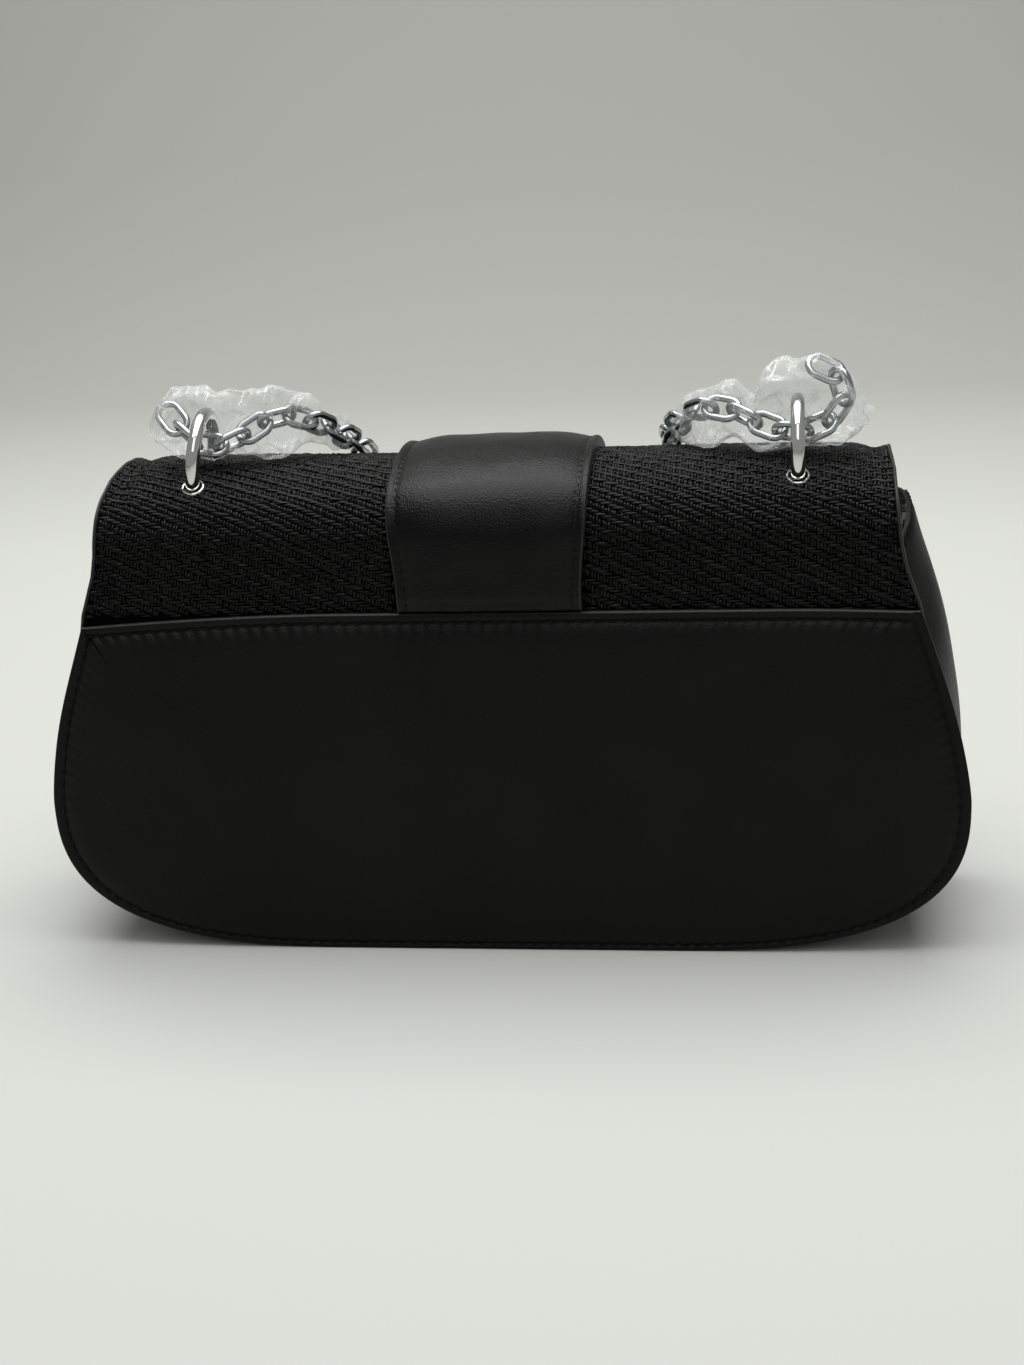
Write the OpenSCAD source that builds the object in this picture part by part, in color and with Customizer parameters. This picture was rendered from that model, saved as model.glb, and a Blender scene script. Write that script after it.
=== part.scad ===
// Chain shoulder bag: padded leather walls, a woven flap with a centre strap, two rings and a chain.
// Millimetres. +Z is up, the bag stands on z = 0, and its back wall faces -Y.

/* [Body] */
// Overall width of the walls
bag_w = 262; // [220:1:300]
// Depth between the outer faces of the woven flap
body_depth = 66; // [56:1:80]
// Height of the back wall's top seam
panel_h = 101; // [94:0.5:107]
// How far the front wall rises above the back seam
front_rise = 14.5; // [10:0.5:16.5]
// How far the gusset's top hem lies above the back seam
gusset_rise = 19.5; // [14:0.5:19.5]
// Height at which the walls are widest
widest_z = 45; // [38:1:52]
// How far each bottom corner reaches in from the side
corner_reach = 88; // [70:1:100]
// How much each side draws in between the widest place and the back seam
top_taper = 14; // [8:0.5:16]
// How far the gusset is sewn in from the walls' edges
gusset_inset = 3; // [2:0.5:5]
// How far the gusset's upper sides bow out
gusset_bow = 10; // [6:0.1:12]

/* [Skins] */
// Thickness of the leather
leather_t = 1.4; // [1:0.1:1.8]
// Thickness of the woven sheet and of the foam beside it
weave_t = 1.6; // [1.2:0.1:2]
// Thickness of the stiffening boards
board_t = 1.2; // [1:0.1:1.5]
// Thickness of the fabric lining
lining_t = 0.8; // [0.6:0.1:1]
// Thickness of the base board
base_t = 1.5; // [1:0.1:2.5]

/* [Flap] */
// Width of the flap at its crest
flap_crest_w = 220; // [200:1:230]
// Width of the flap at the back seam
flap_seam_w = 231; // [222:0.2:233]
// How far above the back seam the flap starts to fold over
fold_rise = 20; // [20:0.5:26]
// Radius of the flap's crown
crown_r = 60; // [56:1:64]
// Height of the flap's front edge
flap_drop_z = 45; // [35:1:50]
// Radius of the flap's front corners
flap_corner_r = 36; // [20:1:38]
// How far above the back seam the flap bends at the back
rear_bend_rise = 7.5; // [5.5:0.5:11.5]
// How far below the front wall's top the flap bends at the front
front_bend_drop = 29; // [27:0.5:31]

/* [Strap] */
// Width of the centre strap
strap_w = 54.4; // [40:0.2:64]
// Thickness of the strap at its padded middle
strap_t = 3.6; // [3:0.1:4.5]
// Thickness of the strap at its sewn edges
strap_edge_t = 2.4; // [2:0.1:2.8]
// Width of the strap's sewn border
strap_border = 7.5; // [5:0.5:10]
// How far the strap's tongue hangs below the flap
tongue_drop = 9; // [5:1:14]
// Radius of the tongue's corners
tongue_r = 14; // [8:1:18]

/* [Rings] */
// Distance between the two rings
ring_spacing = 168.7; // [150:0.1:176]
// Radius of a ring to the middle of its wire
ring_r = 12.5; // [12:0.1:13.5]
// Thickness of the ring's wire
ring_wire = 3.9; // [3.4:0.1:4.2]
// Distance of the rear eyelets from the flap's middle
eyelet_back = 21.5; // [20:0.5:22]
// Distance of the front eyelets from the flap's middle
eyelet_front = 1.5; // [1:0.5:2]
// Width across an eyelet's rim
eyelet_rim_d = 6.8; // [6.6:0.1:7.6]
// Thickness of an eyelet's wall
eyelet_wall = 0.5; // [0.4:0.05:0.6]

/* [Chain] */
// Length of a link
link_l = 12; // [11:0.1:13]
// Width of a link
link_w = 8.4; // [8:0.1:9]
// Thickness of the link's wire
link_wire = 2; // [1.8:0.1:2.1]
// Play between two links
link_play = 0.8; // [0.7:0.05:1]
// Thickness of the film sleeves
film_t = 0.3; // [0.2:0.05:0.4]

/* [Clasp] */
// Width across a clasp magnet
magnet_d = 14; // [10:0.5:18]
// Height of the clasp magnets
magnet_z = 58; // [56:1:62]

/* [Hidden] */

// Clearances and the overrun of every cut
bend_gap = 0.3;
flap_gap = 0.4;
seat_gap = 0.2;
wire_gap = 0.5;
rim_gap = 0.1;
edge_gap = 0.8;
run_gap = 0.3;
over = 1;

// Colours of the finishes
leather_colour = "#161616";
weave_colour = "#2b2b2a";
lining_colour = "#242322";
board_colour = "#8f8a80";
foam_colour = "#3a3a3c";
metal_colour = "#c9cbcc";
film_colour = [0.92, 0.93, 0.93, 0.4];

// Steps of the curves
side_steps = 8;
corner_steps = 14;
bow_steps = 8;
fold_steps = 8;
crown_steps = 12;
route_steps = 10;
film_sides = 16;
round_fn = 48;

// Heights that follow the back seam
front_h = panel_h + front_rise;
gusset_h = panel_h + gusset_rise;
fold_z = panel_h + fold_rise;
rear_bend_z = panel_h + rear_bend_rise;
front_bend_z = front_h - front_bend_drop;

// Outline of the walls
half_w = bag_w / 2;
flat_half = half_w - corner_reach;
corner_power = 2.7;
taper_power = 1.42;
edge_steps = side_steps + corner_steps;

// The flap's profile is symmetric about its middle, which lies at mid_y
half_depth = body_depth / 2;
fold_slope = 25;
fold_r = (half_depth - crown_r * sin(fold_slope)) / (1 - sin(fold_slope));
fold_y = half_depth - fold_r;
crown_z = fold_z + (fold_r - crown_r) * cos(fold_slope);
crest_z = crown_z + crown_r;

// Depths of the layers, from the outside in
back_y = -half_depth;
back_board_y = back_y + weave_t;
back_gusset_y = back_board_y + board_t;
front_y = half_depth - weave_t - lining_t - flap_gap;
front_foam_y = front_y - leather_t;
front_board_y = front_foam_y - weave_t;
front_gusset_y = front_board_y - board_t;

// The chain's run in front of the strap sets how far the bag reaches forward
link_reach = (link_w - link_wire) / 2 * sin(45) + link_wire / 2;
run_y = half_depth + strap_t + run_gap + link_reach;
mid_y = (half_depth + strap_t - run_y - link_reach) / 2;

// Places of the eyelets, as [depth, height] on the crown, and the ring's centre above their chord
ring_x = ring_spacing / 2;
eyelet_r = ring_wire / 2 + wire_gap;
barrel_r = eyelet_r + eyelet_wall;
rim_r = eyelet_rim_d / 2;
rim_t = 2 * eyelet_wall;
rim_sink = eyelet_wall / 2;
rear_eyelet = [-eyelet_back, crown_z + sqrt(pow(crown_r, 2) - pow(eyelet_back, 2))];
front_eyelet = [eyelet_front, crown_z + sqrt(pow(crown_r, 2) - pow(eyelet_front, 2))];
chord = front_eyelet - rear_eyelet;
chord_tilt = atan2(chord[1], chord[0]);
chord_mid = (front_eyelet + rear_eyelet) / 2;
ring_rise = sqrt(pow(ring_r, 2) - pow(norm(chord) / 2, 2));
ring_c = chord_mid + ring_rise * [-sin(chord_tilt), cos(chord_tilt)];
rear_lean = atan2(ring_c[1] - rear_eyelet[1], ring_c[0] - rear_eyelet[0]);
front_lean = -atan2(ring_c[1] - front_eyelet[1], front_eyelet[0] - ring_c[0]);
left_ring_lean = 7;

// Clasp, tuck of the weave in the back seam, and rise of the base board at the corners
magnet_t = weave_t;
tuck = 10;
base_rise = 16;

// Route of the chain from its left end to its right end. Each point is a share of the ring's distance
// from the middle, of the run's depth, and of the ring's radius above the crest
route_shares = [[-1.14, -0.05, 1.20], [-1.07, -0.14, 0.72], [-1.00, -0.20, 0.44], [-0.925, -0.17, 0.42],
    [-0.85, -0.10, 0.66], [-0.77, -0.03, 0.96], [-0.69, 0.06, 0.92], [-0.63, 0.18, 0.66],
    [-0.59, 0.36, 0.36], [-0.557, 0.57, 0], [-0.54, 0.82, -0.48], [-0.51, 0.945, -1.06],
    [-0.45, 1, -1.86], [-0.33, 1, -2.74], [-0.18, 1, -3.46], [0, 1, -3.70], [0.18, 1, -3.46],
    [0.33, 1, -2.74], [0.455, 1, -1.86], [0.515, 0.945, -1.06], [0.545, 0.82, -0.48],
    [0.563, 0.57, 0], [0.59, 0.34, 0.36], [0.64, 0.15, 0.70], [0.715, 0, 0.96], [0.80, -0.07, 0.86],
    [0.90, -0.15, 0.56], [1.00, -0.17, 0.42], [1.08, -0.17, 0.56], [1.14, -0.17, 0.92],
    [1.155, -0.17, 1.40], [1.105, -0.17, 1.82], [1.01, -0.17, 1.96], [0.915, -0.17, 1.84]];
// Shares of the links that lie in the left bundle and in the right one, whose end loops over its ring
left_bundle_share = 0.3;
right_bundle_share = 0.34;

// Sections of the film sleeves: shares as above, and the radius as a share of the ring's
left_film_shares = [[-1.20, -0.03, 1.35, 0.36], [-1.14, -0.05, 1.15, 0.58], [-1.085, -0.12, 0.82, 0.55],
    [-1.035, -0.185, 0.48, 0.41], [-0.965, -0.19, 0.46, 0.41], [-0.90, -0.14, 0.62, 0.55],
    [-0.82, -0.06, 0.84, 0.66], [-0.73, 0.02, 0.92, 0.68], [-0.66, 0.12, 0.74, 0.62],
    [-0.605, 0.28, 0.52, 0.50]];
right_film_shares = [[0.60, 0.28, 0.52, 0.50], [0.66, 0.12, 0.74, 0.62], [0.73, 0.01, 0.94, 0.70],
    [0.81, -0.07, 0.84, 0.66], [0.90, -0.14, 0.62, 0.55], [0.965, -0.19, 0.46, 0.41],
    [1.035, -0.185, 0.48, 0.41], [1.06, -0.16, 1.00, 0.86], [1.10, -0.14, 1.24, 1.00],
    [1.155, -0.14, 1.26, 0.96], [1.20, -0.12, 1.20, 0.70], [1.235, -0.10, 1.14, 0.36]];
// Depth of a film section as a share of its height
film_depth_share = 0.74;

// Half width of a wall at a height, drawn in by an inset
function side_half(z, inset) = half_w - inset
    - top_taper * pow(max(0, z - widest_z) / (panel_h - widest_z), taper_power);

// Point k of the right edge, from the top down the side and round the corner to the flat bottom
function edge_point(k, inset, top) = k <= side_steps
    ? let (z = top + (widest_z - top) * k / side_steps) [side_half(z, inset), z]
    : let (a = 90 * (k - side_steps) / corner_steps)
        [flat_half + (corner_reach - inset) * pow(cos(a), 2 / corner_power),
            widest_z - (widest_z - inset) * pow(sin(a), 2 / corner_power)];

function mirrored(p) = [-p[0], p[1]];

// The whole edge, from the right top round the bottom to the left top
function outline(inset, top) = concat(
    [for (k = [0:edge_steps]) edge_point(k, inset, top)],
    [for (k = [edge_steps:-1:0]) mirrored(edge_point(k, inset, top))]);

// Half width of the flap at a height
function flap_half(z) = flap_seam_w / 2
    + (flap_crest_w - flap_seam_w) / 2 * (z - panel_h) / (crest_z - panel_h);

// The flap's profile as [depth, height], moved in by an offset, from the rear height to the front one
function flap_profile(inset, rear_z, front_z) = concat(
    [[-half_depth + inset, rear_z]],
    [for (i = [0:fold_steps]) let (a = 180 - (90 - fold_slope) * i / fold_steps)
        [-fold_y + (fold_r - inset) * cos(a), fold_z + (fold_r - inset) * sin(a)]],
    [for (i = [1:crown_steps - 1]) let (a = 90 + fold_slope - 2 * fold_slope * i / crown_steps)
        [(crown_r - inset) * cos(a), crown_z + (crown_r - inset) * sin(a)]],
    [for (i = [fold_steps:-1:0]) let (a = (90 - fold_slope) * i / fold_steps)
        [fold_y + (fold_r - inset) * cos(a), fold_z + (fold_r - inset) * sin(a)]],
    [[half_depth - inset, front_z]]);

function reversed(list) = [for (i = [len(list) - 1:-1:0]) list[i]];

function flat(lists) = [for (l = lists) each l];

// Points of an arc about a centre
function arc(c, r, from, to, steps) = [for (i = [0:steps]) let (a = from + (to - from) * i / steps)
    [c[0] + r * cos(a), c[1] + r * sin(a)]];

// How far the gusset bows out at a height
function bow_at(z) = gusset_bow * max(0, z - base_rise) / (gusset_h - base_rise);

// Points across the gusset at one place of the edge, drawn in by an inset, over a range of depths
function across(k, side, inset, top, from, to) = [for (j = [0:bow_steps])
    let (w = j / bow_steps, z = edge_point(k, inset, top)[1], p = edge_point(k,
        inset - bow_at(z) * (1 - pow(2 * w - 1, 2)), top))
    [side * p[0], from + (to - from) * w, p[1]]];

// One row of points for each place along the edge
function gusset_rows(inset, top, from, to) = concat(
    [for (k = [0:edge_steps]) across(k, 1, inset, top, from, to)],
    [for (k = [edge_steps:-1:0]) across(k, -1, inset, top, from, to)]);

// A point of the chain or its film from shares of the ring's distance, the run's depth and the ring's radius
function strap_point(s) = [s[0] * ring_x, s[1] * run_y, crest_z + s[2] * ring_r];

// Smooth curve through four neighbouring points
function blend_point(a, b, c, d, t) = (2 * b + (c - a) * t + (2 * a - 5 * b + 4 * c - d) * pow(t, 2)
    + (3 * b - a - 3 * c + d) * pow(t, 3)) / 2;

route_points = [for (s = route_shares) strap_point(s)];
route_last = len(route_points) - 1;
route = [for (i = [0:route_last - 1], j = [0:route_steps - 1])
    blend_point(route_points[max(0, i - 1)], route_points[i], route_points[i + 1],
        route_points[min(route_last, i + 2)], j / route_steps)];
route_lengths = [for (i = 0, s = 0; i < len(route);
    s = s + (i < len(route) - 1 ? norm(route[i + 1] - route[i]) : 0), i = i + 1) s];
route_l = route_lengths[len(route) - 1];

// Place on the route at a distance from its left end
function on_route(s) = [for (axis = [0:2])
    lookup(s, [for (i = [0:len(route) - 1]) [route_lengths[i], route[i][axis]]])];

// Step along the route after which two joints lie one pitch apart in a straight line
function next_joint(s) = s + pow(link_pitch, 2) / norm(on_route(s + link_pitch) - on_route(s));

// Joints between the links, and the number of links
link_pitch = link_l - 2 * link_wire - link_play;
joints = [for (s = 0; s + link_pitch <= route_l; s = next_joint(s)) on_route(s)];
links = len(joints) - 1;
left_links = round(links * left_bundle_share);
right_links = round(links * right_bundle_share);

// Closed solid between two grids of points. Wrapped grids close on themselves across each row
module sheet_solid(outer, inner, wrap = false) {
    rows = len(outer);
    cols = len(outer[0]);
    function id(side, r, c) = (side * rows + r) * cols + c % cols;
    spans = [0:wrap ? cols - 1 : cols - 2];
    faces = concat(
        [for (r = [0:rows - 2], c = spans) each [
            [id(0, r, c), id(0, r, c + 1), id(0, r + 1, c + 1)],
            [id(0, r, c), id(0, r + 1, c + 1), id(0, r + 1, c)],
            [id(1, r, c), id(1, r + 1, c + 1), id(1, r, c + 1)],
            [id(1, r, c), id(1, r + 1, c), id(1, r + 1, c + 1)]]],
        [for (c = spans) each [
            [id(0, 0, c), id(1, 0, c + 1), id(0, 0, c + 1)],
            [id(0, 0, c), id(1, 0, c), id(1, 0, c + 1)],
            [id(0, rows - 1, c), id(0, rows - 1, c + 1), id(1, rows - 1, c + 1)],
            [id(0, rows - 1, c), id(1, rows - 1, c + 1), id(1, rows - 1, c)]]],
        wrap ? [] : [for (r = [0:rows - 2]) each [
            [id(0, r, 0), id(0, r + 1, 0), id(1, r + 1, 0)],
            [id(0, r, 0), id(1, r + 1, 0), id(1, r, 0)],
            [id(0, r, cols - 1), id(1, r + 1, cols - 1), id(0, r + 1, cols - 1)],
            [id(0, r, cols - 1), id(1, r, cols - 1), id(1, r + 1, cols - 1)]]]);
    polyhedron(concat(flat(outer), flat(inner)), faces);
}

// Places a piece that is drawn about the flap's middle
module set_in_depth() translate([0, mid_y, 0]) children();

// Flat piece drawn as [x, z] that fills a range of depths
module slab(from, to) translate([0, to, 0]) rotate([90, 0, 0]) linear_extrude(to - from) children();

// Piece drawn as [depth, height] that runs across the bag
module across_bag(half) translate([-half, 0, 0]) rotate([90, 0, 90]) linear_extrude(2 * half) children();

// Layer of the flap between two insets of its profile
module flap_layer(outer, inner, rear_z, front_z, half) across_bag(half)
    polygon(concat(flap_profile(outer, rear_z, front_z), reversed(flap_profile(inner, rear_z, front_z))));

// The flap's tapered width, between two heights
module flap_width(from, to, y0, y1) slab(y0, y1)
    polygon([[-flap_half(from), from], [flap_half(from), from], [flap_half(to), to], [-flap_half(to), to]]);

// The four eyelets' places, each with its own children
module at_eyelets(x) {
    translate([x, rear_eyelet[0], rear_eyelet[1]]) rotate([rear_lean, 0, 0]) children();
    translate([x, front_eyelet[0], front_eyelet[1]]) rotate([front_lean, 0, 0]) children();
}

// Room that an eyelet takes in the weave and the lining
module eyelet_room() {
    cylinder(r = barrel_r + rim_gap, h = 2 * over * (weave_t + lining_t), center = true, $fn = round_fn);
    translate([0, 0, -rim_sink]) cylinder(r = rim_r + rim_gap, h = weave_t + over, $fn = round_fn);
    translate([0, 0, -weave_t - lining_t - rim_t - over])
        cylinder(r = rim_r + eyelet_wall + rim_gap, h = rim_t + over, $fn = round_fn);
}

module eyelet() rotate_extrude($fn = round_fn) polygon(concat(
    [[eyelet_r, -weave_t - lining_t - eyelet_wall], [barrel_r, -weave_t - lining_t - eyelet_wall],
        [barrel_r, -rim_sink]],
    [for (a = [0:30:180]) [(rim_r + eyelet_r) / 2 + (rim_r - eyelet_r) / 2 * cos(a),
        rim_t * sin(a) - rim_sink]]));

module washer() translate([0, 0, -weave_t - lining_t - eyelet_wall]) difference() {
    cylinder(r = rim_r + eyelet_wall, h = eyelet_wall, $fn = round_fn);
    translate([0, 0, -over]) cylinder(r = barrel_r, h = eyelet_wall + 2 * over, $fn = round_fn);
}

// Ring that stands on the chord of its two eyelets and leans to one side
module ring(x, lean) translate([x, chord_mid[0], chord_mid[1]]) rotate([chord_tilt, 0, 0])
    rotate([0, lean, 0]) translate([0, 0, ring_rise]) rotate([0, 90, 0])
        rotate_extrude($fn = round_fn) translate([ring_r, 0]) circle(d = ring_wire, $fn = round_fn);

// One link, along X
module link() {
    bend = (link_w - link_wire) / 2;
    straight = link_l - link_w;
    for (side = [-1, 1]) {
        translate([side * straight / 2, 0, 0]) rotate([0, 0, -90 * side])
            rotate_extrude(angle = 180, $fn = round_fn) translate([bend, 0])
                circle(d = link_wire, $fn = round_fn);
        translate([-straight / 2, side * bend, 0]) rotate([0, 90, 0])
            cylinder(d = link_wire, h = straight, $fn = round_fn);
    }
}

// Links number first to last, each turned a quarter turn from the one before
module chain(first, last) for (i = [first:last]) {
    way = joints[i + 1] - joints[i];
    u = way / norm(way);
    translate((joints[i] + joints[i + 1]) / 2) rotate([0, -asin(u[2]), atan2(u[1], u[0])])
        rotate([45 + 90 * (i % 2), 0, 0]) link();
}

// Rounds of points about the film's sections, at the outer or the inner face
function film_rows(shares, inset) = [for (s = shares) let (c = strap_point(s), r = s[3] * ring_r - inset)
    [for (j = [0:film_sides - 1]) let (a = 360 * j / film_sides)
        [c[0], c[1] + film_depth_share * r * cos(a), c[2] + r * sin(a)]]];

module back_panel() color(leather_colour) set_in_depth() slab(back_y - leather_t, back_y)
    polygon(outline(0, panel_h));

module back_foam() color(foam_colour) set_in_depth() slab(back_y, back_board_y)
    polygon(outline(edge_gap, panel_h - tuck - seat_gap));

module back_board() color(board_colour) set_in_depth() slab(back_board_y, back_gusset_y)
    polygon(outline(edge_gap, panel_h));

// Inset of what lies inside the gusset
inside = gusset_inset + leather_t + seat_gap;

module back_lining() color(lining_colour) set_in_depth() slab(back_gusset_y, back_gusset_y + lining_t)
    polygon(outline(inside, panel_h));

module front_panel() color(leather_colour) set_in_depth() slab(front_foam_y, front_y)
    polygon(outline(0, front_h));

module front_foam() color(foam_colour) set_in_depth() difference() {
    slab(front_board_y, front_foam_y) polygon(outline(edge_gap, front_h));
    magnet_at(front_board_y - over, weave_t + 2 * over, rim_gap);
}

module front_board() color(board_colour) set_in_depth() slab(front_gusset_y, front_board_y)
    polygon(outline(edge_gap, front_h));

module front_lining() color(lining_colour) set_in_depth() slab(front_gusset_y - lining_t, front_gusset_y)
    polygon(outline(inside, front_h));

// Gusset with a flange along each edge, which is sewn to the walls
module gusset() color(leather_colour) set_in_depth() {
    inner_from = back_gusset_y + leather_t;
    inner_to = front_gusset_y - leather_t;
    outer_rim = gusset_rows(0, gusset_h, inner_from, inner_to);
    outer_band = gusset_rows(gusset_inset, gusset_h, inner_from, inner_to);
    inner_rim = gusset_rows(0, gusset_h, back_gusset_y, front_gusset_y);
    inner_band = gusset_rows(gusset_inset + leather_t, gusset_h, back_gusset_y, front_gusset_y);
    rows = [0:len(outer_band) - 1];
    sheet_solid([for (r = rows) concat([outer_rim[r][0]], outer_band[r], [outer_rim[r][bow_steps]])],
        [for (r = rows) concat([inner_rim[r][0]], inner_band[r], [inner_rim[r][bow_steps]])]);
}

module gusset_lining() color(lining_colour) set_in_depth() {
    from = back_gusset_y + lining_t + seat_gap;
    to = front_gusset_y - lining_t - seat_gap;
    sheet_solid(gusset_rows(inside, gusset_h - over, from, to),
        gusset_rows(inside + lining_t, gusset_h - over, from, to));
}

// Base board, bent up at the corners
module base_board() color(board_colour) set_in_depth() {
    seat = inside + lining_t + rim_gap;
    slab(back_gusset_y + lining_t + seat_gap, front_gusset_y - lining_t - seat_gap) intersection() {
        difference() {
            polygon(outline(seat, panel_h));
            polygon(outline(seat + base_t, panel_h + over));
        }
        translate([-half_w, 0]) square([bag_w, base_rise]);
    }
}

module flap_rear() color(weave_colour) set_in_depth()
    flap_width(panel_h - tuck, rear_bend_z, back_y, back_board_y);

module flap_top() color(weave_colour) set_in_depth() difference() {
    intersection() {
        flap_layer(0, weave_t, rear_bend_z + bend_gap, front_bend_z + bend_gap, half_w);
        flap_width(front_bend_z, crest_z + over, -body_depth, body_depth);
    }
    for (side = [-1, 1]) at_eyelets(side * ring_x) eyelet_room();
}

// Front edge of the flap and its lining, with round corners
module flap_front_outline() {
    half = flap_half(front_bend_z);
    corner = [half - flap_corner_r, flap_drop_z + flap_corner_r];
    polygon(concat([[half, front_bend_z]], arc(corner, flap_corner_r, 0, -90, corner_steps),
        arc(mirrored(corner), flap_corner_r, -90, -180, corner_steps), [[-half, front_bend_z]]));
}

module flap_front() color(weave_colour) set_in_depth() slab(half_depth - weave_t, half_depth)
    flap_front_outline();

module flap_lining_rear() color(lining_colour) set_in_depth()
    flap_width(panel_h, rear_bend_z, back_board_y, back_board_y + lining_t);

module flap_lining_top() color(lining_colour) set_in_depth() difference() {
    intersection() {
        flap_layer(weave_t, weave_t + lining_t, rear_bend_z + bend_gap, front_bend_z + bend_gap, half_w);
        flap_width(front_bend_z, crest_z, -body_depth, body_depth);
    }
    for (side = [-1, 1]) at_eyelets(side * ring_x) eyelet_room();
}

module flap_lining_front() color(lining_colour) set_in_depth()
    slab(half_depth - weave_t - lining_t, half_depth - weave_t) flap_front_outline();

module strap_rear() color(leather_colour) set_in_depth() {
    translate([-strap_w / 2, back_y - strap_edge_t, panel_h + seat_gap])
        cube([strap_w, strap_edge_t, rear_bend_z - panel_h - seat_gap]);
    translate([strap_border - strap_w / 2, back_y - strap_t, panel_h + seat_gap])
        cube([strap_w - 2 * strap_border, strap_t, rear_bend_z - panel_h - seat_gap]);
}

module strap_top() color(leather_colour) set_in_depth() {
    flap_layer(-strap_edge_t, 0, rear_bend_z + bend_gap, front_bend_z + bend_gap, strap_w / 2);
    flap_layer(-strap_t, 0, rear_bend_z + bend_gap, front_bend_z + bend_gap, strap_w / 2 - strap_border);
}

// Tongue of the strap, drawn in by a border, with round corners
module tongue_outline(border) {
    half = strap_w / 2 - border;
    foot = flap_drop_z - tongue_drop + border;
    corner = [half - tongue_r + border, foot + tongue_r - border];
    polygon(concat([[half, front_bend_z]], arc(corner, tongue_r - border, 0, -90, corner_steps),
        arc(mirrored(corner), tongue_r - border, -90, -180, corner_steps), [[-half, front_bend_z]]));
}

module strap_front() color(leather_colour) set_in_depth() difference() {
    union() {
        slab(half_depth, half_depth + strap_edge_t) tongue_outline(0);
        slab(half_depth, half_depth + strap_t) tongue_outline(strap_border);
    }
    magnet_at(half_depth - over, magnet_t + rim_gap + over, rim_gap);
}

// Disc of a clasp magnet, from a depth forward, widened by a gap
module magnet_at(y, length, gap) translate([0, y + length, magnet_z]) rotate([90, 0, 0])
    cylinder(r = magnet_d / 2 + gap, h = length, $fn = round_fn);

module magnet_flap() color(metal_colour) set_in_depth() magnet_at(half_depth, magnet_t, 0);

module magnet_body() color(metal_colour) set_in_depth() magnet_at(front_board_y, magnet_t, 0);

module eyelets_left() color(metal_colour) set_in_depth() at_eyelets(-ring_x) eyelet();

module eyelets_right() color(metal_colour) set_in_depth() at_eyelets(ring_x) eyelet();

module washers_left() color(metal_colour) set_in_depth() at_eyelets(-ring_x) washer();

module washers_right() color(metal_colour) set_in_depth() at_eyelets(ring_x) washer();

module ring_left() color(metal_colour) set_in_depth() ring(-ring_x, left_ring_lean);

module ring_right() color(metal_colour) set_in_depth() ring(ring_x, 0);

module chain_left() color(metal_colour) set_in_depth() chain(0, left_links - 1);

module chain_run() color(metal_colour) set_in_depth() chain(left_links, links - right_links - 1);

module chain_right() color(metal_colour) set_in_depth() chain(links - right_links, links - 1);

module sleeve_left() color(film_colour) set_in_depth()
    sheet_solid(film_rows(left_film_shares, 0), film_rows(left_film_shares, film_t), wrap = true);

module sleeve_right() color(film_colour) set_in_depth()
    sheet_solid(film_rows(right_film_shares, 0), film_rows(right_film_shares, film_t), wrap = true);

back_panel();
back_foam();
back_board();
back_lining();
front_panel();
front_foam();
front_board();
front_lining();
gusset();
gusset_lining();
base_board();
flap_rear();
flap_top();
flap_front();
flap_lining_rear();
flap_lining_top();
flap_lining_front();
strap_rear();
strap_top();
strap_front();
magnet_flap();
magnet_body();
eyelets_left();
eyelets_right();
washers_left();
washers_right();
ring_left();
ring_right();
chain_left();
chain_run();
chain_right();
sleeve_left();
sleeve_right();
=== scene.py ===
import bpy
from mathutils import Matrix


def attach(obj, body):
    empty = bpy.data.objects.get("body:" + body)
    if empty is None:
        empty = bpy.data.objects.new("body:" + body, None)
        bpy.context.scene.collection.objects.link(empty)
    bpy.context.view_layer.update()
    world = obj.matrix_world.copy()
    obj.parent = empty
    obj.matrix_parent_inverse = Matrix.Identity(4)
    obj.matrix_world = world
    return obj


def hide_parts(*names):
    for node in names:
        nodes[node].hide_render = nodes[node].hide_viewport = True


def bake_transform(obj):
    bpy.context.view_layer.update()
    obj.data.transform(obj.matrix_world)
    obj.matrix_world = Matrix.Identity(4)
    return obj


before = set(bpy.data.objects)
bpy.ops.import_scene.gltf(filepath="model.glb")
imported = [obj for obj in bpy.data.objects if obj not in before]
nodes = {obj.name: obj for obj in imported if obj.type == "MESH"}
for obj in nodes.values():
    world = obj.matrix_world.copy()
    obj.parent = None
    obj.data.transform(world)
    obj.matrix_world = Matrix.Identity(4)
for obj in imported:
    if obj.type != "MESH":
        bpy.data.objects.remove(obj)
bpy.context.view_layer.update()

import math

import bmesh
import bpy
import numpy as np
from mathutils import Matrix

millimetre = 0.001
scene = bpy.context.scene
scene.view_settings.view_transform = "Standard"

# The bag's own sizes in mm, as in part.scad. Pieces are worked out about the flap's middle, and
# midShift moves them into the row's frame when their mesh is made
bag = {"halfWidth": 131.0, "cornerReach": 88.0, "widestHeight": 45.0, "topTaper": 14.0, "seamHeight": 101.0,
       "frontHeight": 115.5, "hemHeight": 120.5, "crestHeight": 138.618, "midShift": -3.41274,
       "cornerPower": 2.7, "taperPower": 1.42, "flapSeamHalf": 115.5, "flapCrestHalf": 110.0,
       "gussetInset": 3.0, "gussetBow": 10.0, "bowFrom": 16.0}
fold = {"foldHeight": 121.0, "crownRadius": 60.0, "slope": 25.0, "foldRadius": 13.2372, "foldDepth": 19.7628,
        "crownHeight": 78.6185, "frontEdge": 45.0, "strapEdge": 36.0, "hemDip": 4.5}

# ---- camera, at the photograph's viewing angle
cameraFit = {"azimuth": 8.18, "elevation": 17.31, "roll": -2.82, "distance": 594.9,
             "target": (5.25, -37.41, 80.68), "focalPixels": 2142.9, "imageHeight": 1365, "sensor": 36.0}


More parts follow.
